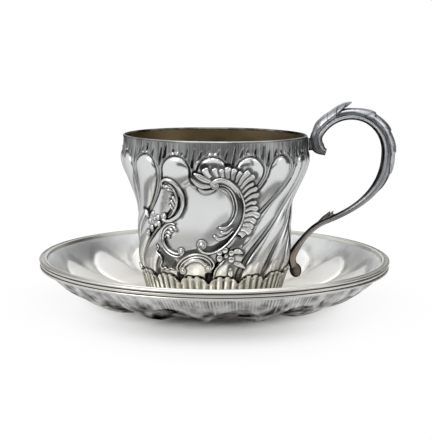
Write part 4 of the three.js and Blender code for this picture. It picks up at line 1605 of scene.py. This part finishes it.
@dataclass
class CupTrim:
    """The half-round wire on the cup's lip and the gilt disc that closes its foot."""

    wall: CupWall
    wire: float = 0.9
    disc_height: float = 1.2
    disc_thickness: float = 1.0
    disc_hollow: float = 0.35
    gap: float = 0.4

    def build_wire(self, finish: Material) -> Object:
        """Draw the lip's wire.

        Args:
            finish: its material.

        Returns:
            The piece.
        """
        middle = self.wall.lip_radius - self.wall.sheet / 2.0
        half = (self.wall.sheet + self.wire / 2.0) / 2.0
        bottom = self.wall.lip_height - self.wire + self.wall.foot
        arc = np.linspace(0.0, math.pi, 14)
        radii = np.concatenate([middle + half * np.cos(arc), [middle - half, middle + half]])
        crown = bottom + self.wire * mixed(0.35, 1.0, np.sin(arc))
        heights = np.concatenate([crown, [bottom, bottom]])
        # Painted shade on the wire's outer and inner sides and under it, so that only its top is bright
        tone = 0.3 + 0.6 * smooth(0.9, 1.6, arc)
        tone = tone + 0.5 * smooth(0.9, 0.3, arc)
        draft = Draft()
        draft.hoop(LOBES * 16, radii, heights, np.concatenate([tone, (0.9, 0.6)]))
        return draft.build("cup_lip_wire_round", finish)

    def build_disc(self, gilding: Material) -> Object:
        """Make the floor of the cup, hollowed slightly inside.

        Args:
            gilding: its material.

        Returns:
            The piece.
        """
        low = self.disc_height + self.wall.foot
        high = low + self.disc_thickness
        edge = float(self.wall.radius(self.disc_height)) - self.wall.sheet - self.gap
        angle = np.linspace(0.0, TURN, LOBES * 8, endpoint=False)
        bevel_under, bevel_over = 0.15, 0.25
        profile = [(share, low) for share in (0.3, 0.7, 0.97)]
        profile.append((1.0, low + bevel_under))
        for share in (1.0, 0.97, 0.9, 0.7, 0.5, 0.3, 0.1):
            hollow = self.disc_hollow * (1.0 - share**2)
            profile.append((share, high - hollow - bevel_over * (share > 0.98)))
        draft = Draft()
        rows = [draft.row(on_axis(angle, edge * share, height)) for share, height in profile]
        for first, second in zip(rows, rows[1:]):
            draft.stitch(first, second)
        draft.fan(rows[0], (0.0, 0.0, low), True)
        draft.fan(rows[-1], (0.0, 0.0, high - self.disc_hollow), False)
        return draft.build("cup_base_disc_gilt", gilding)


# Handle


@dataclass(frozen=True)
class LeafForm:
    """How one of the handle's leaves is cut: its teeth, how they overlap and where painted shade darkens
    its sides.
    """

    piece: str
    teeth: int
    overlap: float
    side_shade: Pair
    tip_rise: float = 0.0


THUMB_LEAF = LeafForm("thumb_leaf_cast", teeth=4, overlap=0.12, side_shade=(0.2, 0.5), tip_rise=2.4)
LONG_LEAF = LeafForm("handle_leaf_cast", teeth=5, overlap=0.8, side_shade=(0.75, 1.0))


@dataclass
class Handle:
    """The cast handle: a C-shaped bar with a curl, two leaves over its back, and its pad."""

    wall: CupWall
    # Middle line: curl, loop, lower branch and foot
    loop_radius: float = 15.4
    loop_height: float = 60.6
    curl_radius: float = 5.2
    join: float = math.radians(152.0)
    curl_end: float = math.radians(257.0)
    loop_end: float = math.radians(2.0)
    bend_inset: float = 9.5
    bend_height: float = 31.4
    bend_slope: float = math.radians(21.4)
    branch_pulls: tuple[float, float, float] = (1.06, 0.86, 0.49)
    foot_height: float = 17.4
    foot_length: float = 6.8
    foot_kick: float = 1.2
    knee: Pair = (1.5, 2.9)
    step: float = 0.4
    # Section of the bar along its length, and half its outline as shares of its width and depth
    tip_depth: float = 3.0
    curl_depth: float = 5.5
    top_depth: float = 4.9
    low_depth: float = 2.3
    foot_depth: float = 3.6
    tip_width: float = 4.6
    top_width: float = 6.6
    low_width: float = 4.0
    back_line: Chart = ((0.0, 0.5), (0.2, 0.475), (0.36, 0.4), (0.46, 0.27), (0.485, 0.12), (0.475, 0.0))
    front_line: Chart = (
        (0.465, -0.07), (0.495, -0.13), (0.5, -0.19), (0.47, -0.26), (0.42, -0.38), (0.32, -0.46),
        (0.18, -0.42), (0.0, -0.36),
    )
    # Neck at the pad, bud on the lower branch and bulb at the foot
    boss_line: Chart = ((0.0, 1.0), (0.5, 0.94), (1.2, 0.94), (2.6, 1.0))
    buds: tuple[tuple[Chart, float, float], ...] = (
        (((43.6, 31.0), (45.6, 32.6), (47.3, 34.2), (48.2, 35.7)), 0.75, -0.7),
        (((44.6, 31.4), (46.8, 32.8), (48.7, 34.2), (49.7, 35.6)), 0.75, 0.7),
        (((42.6, 30.0), (45.4, 31.8), (48.2, 33.4), (50.2, 34.4)), 0.95, 0.0),
    )
    bulb_radius: float = 2.5
    # Pad between the wall and the curl
    pad_drop: float = 2.0
    pad_height: float = 5.4
    pad_width: float = 6.0
    pad_thickness: float = 0.5
    gap: float = 0.2
    # Leaves over the bar's back
    leaf_sheet: float = 0.3
    leaf_run: float = 17.0
    leaf_space: float = 1.2
    strand_places: Pair = (0.3, 0.62)
    thumb_tip: float = math.radians(90.0)
    thumb_root: float = 0.3
    # Oxide and painted shade round the bar, where limits are shares of its width or depth
    under_shade_limits: Pair = (-0.24, -0.36)
    edge_side: float = 0.4
    line_place: Pair = (-0.07, 0.06)
    line_tone: float = 0.3
    rib_place: Pair = (-0.17, 0.07)
    # Painted shade on the bar's back, under the leaves
    back_shade: float = 0.5
    bulb_tone: float = 0.6
    # Points of the middle line, its directions and its length
    line: Array = field(init=False)
    ahead: Array = field(init=False)
    length: float = field(init=False)

    def __post_init__(self) -> None:
        """Work out the handle's middle line."""
        dense = self.middle_line()
        self.length = float(np.linalg.norm(np.diff(dense, axis=0), axis=1).sum())
        self.line = even_steps(dense, self.step)
        self.ahead = directions(self.line)

    @property
    def pad_middle(self) -> float:
        """Height of the pad's middle above the foot."""
        inset = self.loop_radius - self.curl_radius
        return self.loop_height + inset * math.sin(self.join) - self.pad_drop

    @property
    def reach(self) -> float:
        """Distance from the axis to where the handle meets its pad."""
        return float(self.wall.radius(self.pad_middle)) + self.pad_thickness + 2 * self.gap

    @property
    def loop_start(self) -> float:
        """Share of the length at which the curl runs into the loop."""
        return self.curl_radius * (self.curl_end - self.join) / self.length

    @property
    def loop_stop(self) -> float:
        """Share of the length at which the loop runs into the lower branch."""
        return self.loop_start + self.loop_radius * (self.join - self.loop_end) / self.length

    def middle_line(self) -> Array:
        """The middle line in the handle's plane: curl, loop, and a lower branch that bends back.

        Returns:
            Points along it, outward and up.
        """
        inset = self.loop_radius - self.curl_radius
        curl_x = self.reach + self.curl_depth / 2 + self.curl_radius
        centre = np.array([curl_x - inset * math.cos(self.join), self.loop_height])
        curl_centre = centre + inset * np.array([math.cos(self.join), math.sin(self.join)])
        turn = np.linspace(self.curl_end, self.join, 60)
        curl = curl_centre + self.curl_radius * np.column_stack([np.cos(turn), np.sin(turn)])
        turn = np.linspace(self.join, self.loop_end, 200)[1:]
        loop = centre + self.loop_radius * np.column_stack([np.cos(turn), np.sin(turn)])
        flow = -np.array([math.cos(self.bend_slope), math.sin(self.bend_slope)])
        bend = np.array([centre[0] - self.bend_inset, self.bend_height])
        leave = np.array([math.sin(self.loop_end), -math.cos(self.loop_end)])
        foot_x = float(self.wall.radius(self.foot_height)) + self.wall.lobe_rise + self.low_depth / 2
        foot = np.array([foot_x, self.foot_height])
        low = foot - np.array([0.0, self.foot_length])
        knee = np.array(self.knee)
        kick = np.array([self.foot_kick, 0.0])
        pulls = [share * self.loop_radius for share in self.branch_pulls]
        curves = (
            (loop[-1], loop[-1] + leave * pulls[0], bend - flow * pulls[1], bend),
            (bend, bend + flow * pulls[2], foot + knee, foot),
            (foot, foot - 0.8 * knee, (2 * low + foot) / 3, low + kick),
        )
        t = np.linspace(0.0, 1.0, 120)[1:, None]
        branch = [
            a * (1 - t) ** 3 + 3 * b * t * (1 - t) ** 2 + 3 * c * t**2 * (1 - t) + d * t**3
            for a, b, c, d in curves
        ]
        return np.vstack([curl, loop, *branch])

    def beside(self, share: Array, across: Array, outward: Array) -> Array:
        """Points beside the middle line.

        Args:
            share: places along the handle.
            across: distance from the handle's plane.
            outward: distance from the line within the plane.

        Returns:
            The points.
        """
        at = np.linspace(0.0, 1.0, len(self.line))
        x, z = (np.interp(share, at, column) for column in self.line.T)
        run_x, run_z = (np.interp(share, at, column) for column in self.ahead.T)
        height = z + run_x * outward + self.wall.foot
        return np.stack(np.broadcast_arrays(x - run_z * outward, across, height), axis=-1)

    def size(self, share: Array) -> tuple[Array, Array]:
        """Depth and width of the bar.

        Args:
            share: places along the handle.

        Returns:
            The depth and the width at each place.
        """
        peak = 0.4 * self.loop_start
        swell = smooth(0.0, peak, share)
        slim = smooth(self.loop_stop, (self.loop_stop + 1.0) / 2.0, share)
        depth = mixed(self.tip_depth, self.curl_depth, swell)
        depth = mixed(depth, self.top_depth, smooth(peak, self.loop_start, share))
        depth = mixed(depth, self.low_depth, slim)
        depth = mixed(depth, self.foot_depth, smooth(0.86, 0.95, share))
        return depth, mixed(mixed(self.tip_width, self.top_width, swell), self.low_width, slim)

    def bar_tarnish_and_shade(self, share: Array, section: Array) -> Array:
        """Oxide and painted shade on the bar: dark in its hollows, its inner face, its back and its curl,
        plainer on the lower branch.

        Args:
            share: places along the handle.
            section: points round the bar, as shares of its width and depth.

        Returns:
            How dark each point of each ring is.
        """
        side, out = np.abs(section[:, 0]), section[:, 1]
        # Painted shade on the hollow inner face, the side channels and the back; oxide in the bead lines
        under = smooth(*self.under_shade_limits, out)
        face = smooth(0.3, 0.44, side) * smooth(0.3, 0.2, out) * smooth(-0.12, -0.05, out)
        line = ridge(out, *self.line_place) * (side > self.edge_side)
        rib = ridge(out, *self.rib_place) * (side > self.edge_side)
        dark = 0.95 * under + 0.7 * face + self.line_tone * line
        dark = dark + 0.34 * rib + self.back_shade * smooth(0.24, 0.36, out)
        along = share[:, None]
        inner, outer = (limit * self.loop_start for limit in (1.5, 0.8))
        curl = (0.86 - 0.5 * rib) * smooth(inner, outer, along)
        past = along - self.loop_stop
        curl = curl + 0.3 * smooth(-0.1, 0.1, past)
        last = smooth(0.24, 0.42, past)
        shaded = smooth(mixed(-0.2, -0.1, last), self.under_shade_limits[1], out)
        plain = mixed(0.44, 0.16, last) + mixed(0.4, 0.75, last) * shaded
        upper = np.maximum(np.clip(dark, 0.0, 1.0), curl)
        return mixed(upper, plain, smooth(-0.04, 0.12, past))

    def build_bar(self, finish: Material) -> Object:
        """Cast the bar, with a rib along each side, a hollow inner face and a bulb at its foot.

        Args:
            finish: its material.

        Returns:
            The piece.
        """
        half = [*self.back_line, *self.front_line]
        outline = np.array(half + [(-a, b) for a, b in reversed(half[1:-1])])
        section = spline(np.vstack([outline, outline[:1]]), 0.03)[:-1]
        share = np.linspace(0.0, 1.0, len(self.line))
        depth, width = self.size(share)
        rings = np.stack([self.beside(share, a * width, b * depth) for a, b in section], axis=1)
        draft = Draft()
        draft.tube(rings, self.bar_tarnish_and_shade(share, section))
        self.add_boss(draft)
        self.add_bud(draft)
        self.add_bulb(draft)
        return draft.build("handle_bar_cast", finish)

    def add_round(self, draft: Draft, path: Array, half: Array, wide: float, dark: float) -> None:
        """Add a round body along a path.

        Args:
            draft: the mesh being made.
            path: points outward, up and, where they leave the handle's plane, across.
            half: half thickness at each point.
            wide: how much wider than thick it is.
            dark: its tarnish.
        """
        level = np.zeros(len(path))
        across = path[:, 2] if path.shape[1] > 2 else level
        ahead = directions(path)
        side = np.column_stack([-ahead[:, 1], level, ahead[:, 0]]) * half[:, None]
        flat = np.column_stack([level, wide * half, level])
        spot = np.column_stack([path[:, 0], across, path[:, 1] + self.wall.foot])
        turn = np.linspace(0.0, TURN, 18, endpoint=False)[:, None, None]
        rings = spot + np.cos(turn) * side + np.sin(turn) * flat
        draft.tube(np.swapaxes(rings, 0, 1), dark)

    def add_boss(self, draft: Draft) -> None:
        """Add the short neck between the pad and the curl.

        Args:
            draft: the mesh being made.
        """
        out, swell = np.array(self.boss_line).T
        path = np.column_stack([self.reach + out, np.full(len(out), self.pad_middle)])
        half = 0.49 * self.pad_height * swell
        self.add_round(draft, path, half, 0.9, 0.92)

    def add_bud(self, draft: Draft) -> None:
        """Add the small leaf bud on the upper side of the lower branch.

        Args:
            draft: the mesh being made.
        """
        shift = self.line[-1, 0] - 34.3
        early, full = 0.9, 0.8
        for points, half, lean in self.buds:
            x, z = np.array(points).T
            across = np.linspace(0.0, lean, len(points))
            path = spline(np.column_stack([x + shift, z, across]), 0.25)
            share = np.linspace(0.0, 1.0, len(path))
            thick = 0.12 + half * np.sin(math.pi * share**early) ** full
            self.add_round(draft, path, thick, 1.3, 0.62)

    def add_bulb(self, draft: Draft) -> None:
        """Add the bulb at the handle's foot.

        Args:
            draft: the mesh being made.
        """
        start = 0.04
        turn = np.linspace(start, math.pi - start, 16)
        along = 1.22 * self.bulb_radius * np.cos(turn)
        path = self.line[-1] + along[:, None] * np.array([-0.22, 1.0])
        self.add_round(draft, path, self.bulb_radius * np.sin(turn), 1.0, self.bulb_tone)

    def build_leaf(self, form: LeafForm, start: float, stop: float, finish: Material) -> Object:
        """Lay a serrated leaf over the bar's back and sides.

        Args:
            form: how the leaf is cut.
            start: share of the handle's length at its stem.
            stop: share at its tip.
            finish: its material.

        Returns:
            The piece.
        """
        along = np.linspace(0.0, 1.0, form.teeth * 16 + 1)
        tooth = (along * form.teeth) % 1.0
        tooth[-1] = 1.0
        taper = np.clip(1.0 - along**4, 0.04, 1.0)
        spread = taper * mixed(0.8, 1.0, np.sqrt(np.clip(1.0 - (2.0 * tooth - 1.0) ** 2, 0.0, 1.0)))
        if form.tip_rise:
            spread = mixed(1.0, 0.3, smooth(0.5, 1.0, along))
        lift = form.tip_rise * smooth(0.42, 1.0, along) ** 1.3
        scale = (0.1 + form.overlap * tooth**1.4) * taper
        share = start + (stop - start) * along
        share_under = start + (stop - start) * along * (1.0 - 0.1 * along**8)
        stem = smooth(-0.05, 0.2, along)
        below = np.where(lift > 0.05, self.gap, -0.25)
        depth, width = self.size(share)
        back = np.asarray(self.back_line)
        reach = np.concatenate([[0.0], np.cumsum(np.linalg.norm(np.diff(back, axis=0), axis=1))])
        top, under, dark = [], [], []
        places = np.linspace(-1.0, 1.0, 21)
        for place in places:
            side, off = math.copysign(1.0, place), abs(place)
            across, out = (np.interp(off * spread * reach[-1], reach, column) for column in back.T)
            lean = np.clip(across / 0.48, 0.0, 1.0) ** 2
            hang = mixed(lift, 0.75 * lift, lean)
            vein = ridge((along * form.teeth + 0.5 * off) % 1.0, 0.5, 0.5)
            strand = sum(float(ridge(off, middle, 0.09)) for middle in self.strand_places)
            rise = scale * (1.0 - 0.55 * off) * mixed(0.55, 1.0, vein)
            rise = self.gap + self.leaf_sheet * taper + rise
            rise = rise + 0.2 * taper * float(ridge(place, 0.0, 0.12))
            rise = (rise - 0.18 * strand) * stem
            wide = side * (across * width + rise * lean)
            top.append(self.beside(share, wide, out * depth + rise * (1.0 - 0.7 * lean) + hang))
            wide = side * (across * width + below * lean)
            high = out * depth + below * (1.0 - lean) + self.thumb_root * hang
            under.append(self.beside(share_under, wide, high))
            # Dark veins and strands, with painted shade on the sides away from the outer face and at the
            # stem
            shade = 0.5 * ridge(vein, 0.0, 0.25) + 0.2 * strand
            shade = shade + 0.45 * smooth(*form.side_shade, off)
            shade = shade + 0.25 * smooth(0.2, 0.05, along)
            dark.append(np.clip(shade, 0.0, 0.88))
        # Painted shade on the leaf's hidden underside
        underside_shade = [np.full(len(along), 0.9)] * len(places)
        draft = Draft()
        draft.tube(np.stack(top + under[::-1], axis=1), np.stack(dark + underside_shade, axis=1))
        return draft.build(form.piece, finish)

    def build_pad(self, finish: Material) -> Object:
        """Make the small plate between the wall and the handle.

        Args:
            finish: its material.

        Returns:
            The piece.
        """
        around = np.linspace(0.0, TURN, 40, endpoint=False)
        across, up = (
            0.5 * size * np.sign(wave) * np.abs(wave) ** 0.6
            for size, wave in ((self.pad_width, np.cos(around)), (self.pad_height, np.sin(around)))
        )
        outside = self.reach - self.gap
        rings = []
        for scale, depth in ((0.02, 0.0), (0.96, 0.0), (1.0, 0.12), (1.0, self.pad_thickness)):
            angle = math.pi / 2 - across * scale / outside
            rings.append(on_axis(angle, outside - depth, self.pad_middle + up * scale + self.wall.foot))
        draft = Draft()
        draft.tube(np.stack(rings), np.array((0.2, 0.3, 0.5, 0.9))[:, None])
        return draft.build("handle_upper_pad_plate", finish)

    def dress(self) -> None:
        """Build the handle's pieces and set them in the frame."""
        cast = CAST_SILVER.make()
        turn = (self.join - self.thumb_tip) / (self.join - self.loop_end)
        tip = self.loop_start + (self.loop_stop - self.loop_start) * turn
        stem = tip + self.leaf_space / self.length
        end = self.loop_stop + self.leaf_run / self.length
        for piece, node in (
            (self.build_bar(cast), "handle_bar"),
            (self.build_pad(cast), "handle_upper_pad"),
            (self.build_leaf(THUMB_LEAF, self.loop_start, tip, cast), "thumb_leaf"),
            (self.build_leaf(LONG_LEAF, stem, end, cast), "handle_leaf"),
        ):
            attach(piece, "cup")
            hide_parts(node)


@dataclass
class Cup:
    """The cup: wall, cartouche, collar, trim and handle."""

    foot: float
    top: float

    def dress(self) -> None:
        """Build the cup's pieces and set them in the frame."""
        wall = CupWall(self.foot, self.top)
        cartouche = Cartouche(wall)
        trim = CupTrim(wall)
        chased, gilt = CHASED_SILVER.make(), GILDING.make()
        for piece, node, slot in (
            (wall.build(cartouche, chased, gilt), "cup_wall", "cup_silver"),
            (cartouche.build(chased), "cup_wall", "cup_silver"),
            (FootCollar(wall).build(chased), "foot_collar", "cup_silver"),
            (trim.build_wire(DRAWN_SILVER.make()), "cup_lip_wire", "wire_silver"),
            (trim.build_disc(gilt), "cup_base_disc", "gilt_silver"),
        ):
            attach(piece, "cup")
            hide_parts(node)
        Handle(wall).dress()


# Studio


@dataclass(frozen=True)
class Card:
    """A dark or grey card that only the silver reflects."""

    name: str
    azimuth: float
    elevation: float
    distance: float
    width: float
    height: float
    shade: float


class Use(Enum):
    """What a lamp is for."""

    SILVER = "highlights in the silver"
    PAPER = "light on the paper"


@dataclass(frozen=True)
class Lamp:
    """A square soft lamp."""

    name: str
    azimuth: float
    elevation: float
    distance: float
    size: float
    power: float
    use: Use


@dataclass
class Studio:
    """White paper, white surroundings, soft lamps, dark cards and the camera."""

    eye: tuple[float, float, float] = (0.531, -465.7, 105.12)
    pitch: float = 8.829
    roll: float = 0.445
    lens: float = 92.55
    sensor: float = 36.0
    clip_start: float = 10.0
    aim_height: float = 40.0
    floor_size: float = 12000.0
    floor_gap: float = 0.2
    lamps: tuple[Lamp, ...] = (
        Lamp("softbox_left", -52.0, 42.0, 900.0, 420.0, 3.4, Use.SILVER),
        Lamp("softbox_right", 72.0, 34.0, 900.0, 260.0, 0.35, Use.SILVER),
        Lamp("softbox_top", 20.0, 84.0, 900.0, 500.0, 2.0, Use.SILVER),
        Lamp("paper_top", 0.0, 89.0, 2500.0, 2000.0, 4.0, Use.PAPER),
    )
    # Painted glow on the paper, beside the saucer and round it: near and far limits in mm, and the glow's
    # share there
    painted_glow_beside: tuple[float, float, float, float] = (8.0, 62.0, 0.02, 0.6)
    painted_glow_around: tuple[float, float, float, float] = (42.0, 58.0, 0.0, 0.3)
    cards: tuple[Card, ...] = (
        Card("room_front", 0.0, 7.0, 560.0, 900.0, 260.0, 0.12),
        Card("room_right", 118.0, 18.0, 900.0, 700.0, 900.0, 0.06),
        Card("room_right_front", 46.0, 22.0, 900.0, 130.0, 900.0, 0.04),
        Card("room_back_left", -138.0, 22.0, 900.0, 420.0, 700.0, 0.25),
        Card("room_back_right", 152.0, 12.0, 900.0, 240.0, 500.0, 0.4),
    )

    def place_camera(self) -> None:
        """Set the camera where the photograph was taken from."""
        data = bpy.data.cameras.new("camera")
        data.lens = self.lens
        data.sensor_width = self.sensor
        data.clip_start = self.clip_start * MM
        camera = bpy.data.objects.new("camera", data)
        tilt = Matrix.Rotation(math.radians(90.0 - self.pitch), 4, "X")
        lean = Matrix.Rotation(math.radians(self.roll), 4, "Z")
        camera.matrix_world = Matrix.Translation(Vector(self.eye) * MM) @ tilt @ lean
        bpy.context.scene.collection.objects.link(camera)
        bpy.context.scene.camera = camera

    def aim(self, thing: Object, azimuth: float, elevation: float, distance: float) -> None:
        """Put a lamp or card at its place round the object and turn it to face it.

        Args:
            thing: the lamp or card.
            azimuth: degrees from the camera's side towards +X.
            elevation: degrees above the table.
            distance: how far away it is.
        """
        around, up = math.radians(azimuth), math.radians(elevation)
        away = Vector((math.sin(around) * math.cos(up), -math.cos(around) * math.cos(up), math.sin(up)))
        thing.location = away * distance * MM + Vector((0.0, 0.0, self.aim_height * MM))
        thing.rotation_mode = "QUATERNION"
        thing.rotation_quaternion = away.to_track_quat("Z", "Y")

    def add_lamp(self, lamp: Lamp) -> None:
        """Hang a lamp so that it faces the object.

        Args:
            lamp: the lamp.
        """
        data = bpy.data.lights.new(lamp.name, "AREA")
        data.size = lamp.size * MM
        data.energy = lamp.power
        light = bpy.data.objects.new(lamp.name, data)
        self.aim(light, lamp.azimuth, lamp.elevation, lamp.distance)
        light.visible_camera = False
        light.visible_glossy = lamp.use is Use.SILVER
        light.visible_diffuse = lamp.use is Use.PAPER
        bpy.context.scene.collection.objects.link(light)

    def flat_sheet(self, name: str, width: float, height: float, material: Material) -> Object:
        """Make a flat sheet round the origin.

        Args:
            name: its name.
            width: its size along X.
            height: its size along Y.
            material: what it is made of.

        Returns:
            The sheet.
        """
        w, h = width * MM / 2, height * MM / 2
        mesh = bpy.data.meshes.new(name)
        mesh.from_pydata([(-w, -h, 0), (w, -h, 0), (w, h, 0), (-w, h, 0)], [], [(0, 1, 2, 3)])
        mesh.materials.append(material)
        sheet = bpy.data.objects.new(name, mesh)
        bpy.context.scene.collection.objects.link(sheet)
        return sheet

    def add_card(self, card: Card) -> None:
        """Stand a card where only reflections show it.

        Args:
            card: the card.
        """
        material, tree = new_material(card.name)
        glow = add_node(tree, "ShaderNodeEmission", {"Color": (card.shade, card.shade, card.shade, 1.0)})
        add_node(tree, "ShaderNodeOutputMaterial", {"Surface": glow})
        sheet = self.flat_sheet(card.name, card.width, card.height, material)
        self.aim(sheet, card.azimuth, card.elevation, card.distance)
        sheet.visible_camera = False
        sheet.visible_diffuse = False
        sheet.visible_shadow = False

    def lay_floor(self) -> None:
        """Lay the white paper that the saucer stands on, with a painted glow that whitens it away from
        the saucer's shadow.
        """
        material, tree = new_material("matt_white_paper")
        place = add_node(tree, "ShaderNodeTexCoord", {}, "Object")
        across = add_node(tree, "ShaderNodeSeparateXYZ", {"Vector": place}, "X")
        side = add_node(tree, "ShaderNodeMath", {0: across}, operation="ABSOLUTE")
        away = add_node(tree, "ShaderNodeVectorMath", {0: place}, "Value", operation="LENGTH")
        beside, around = (
            add_node(
                tree,
                "ShaderNodeMapRange",
                {
                    "Value": value,
                    "From Min": near * MM,
                    "From Max": far * MM,
                    "To Min": low,
                    "To Max": high,
                },
                interpolation_type="SMOOTHSTEP",
            )
            for value, (near, far, low, high) in ((side, self.painted_glow_beside), (away, self.painted_glow_around))
        )
        # Painted light: the paper glows for camera, glossy and transmission rays, more beside and away
        # from the saucer
        glow = add_node(tree, "ShaderNodeMath", {0: beside, 1: around}, operation="ADD", use_clamp=True)
        seen = add_node(tree, "ShaderNodeLightPath", {}, "Is Camera Ray")
        for ray in ("Is Glossy Ray", "Is Transmission Ray"):
            other = add_node(tree, "ShaderNodeLightPath", {}, ray)
            seen = add_node(tree, "ShaderNodeMath", {0: seen, 1: other}, operation="MAXIMUM")
        share = add_node(tree, "ShaderNodeMath", {0: glow, 1: seen}, operation="MULTIPLY")
        matt = add_node(tree, "ShaderNodeBsdfDiffuse", {"Color": linear(WHITE)})
        white = add_node(tree, "ShaderNodeEmission", {"Color": linear(WHITE), "Strength": 1.0})
        paper = add_node(tree, "ShaderNodeMixShader", {0: share, 1: matt, 2: white})
        add_node(tree, "ShaderNodeOutputMaterial", {"Surface": paper})
        floor = self.flat_sheet("paper_floor", self.floor_size, self.floor_size, material)
        floor.location.z = -self.floor_gap * MM

    def light(self) -> None:
        """Make the white surroundings and hang the lamps."""
        world = bpy.data.worlds.new("white_surroundings")
        world.use_nodes = True
        tree = world.node_tree
        tree.nodes.clear()
        back = add_node(tree, "ShaderNodeBackground", {"Color": linear(WHITE), "Strength": 1.0})
        add_node(tree, "ShaderNodeOutputWorld", {"Surface": back})
        bpy.context.scene.world = world
        for lamp in self.lamps:
            self.add_lamp(lamp)

    def set_up(self) -> None:
        """Make the whole studio."""
        bpy.context.scene.view_settings.view_transform = "Standard"
        self.place_camera()
        self.lay_floor()
        self.light()
        for card in self.cards:
            self.add_card(card)


def main() -> None:
    """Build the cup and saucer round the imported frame, and the studio round them."""
    logging.basicConfig(level=logging.INFO, format="%(name)s: %(message)s", stream=sys.stdout)
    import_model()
    _, rim_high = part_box("saucer_rim_wire")
    wall_low, wall_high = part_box("cup_wall")
    Studio().set_up()
    Saucer(rim_high.x / MM, rim_high.z / MM).dress()
    Cup(wall_low.z / MM, (wall_high.z - wall_low.z) / MM).dress()


if __name__ == "__main__":
    main()
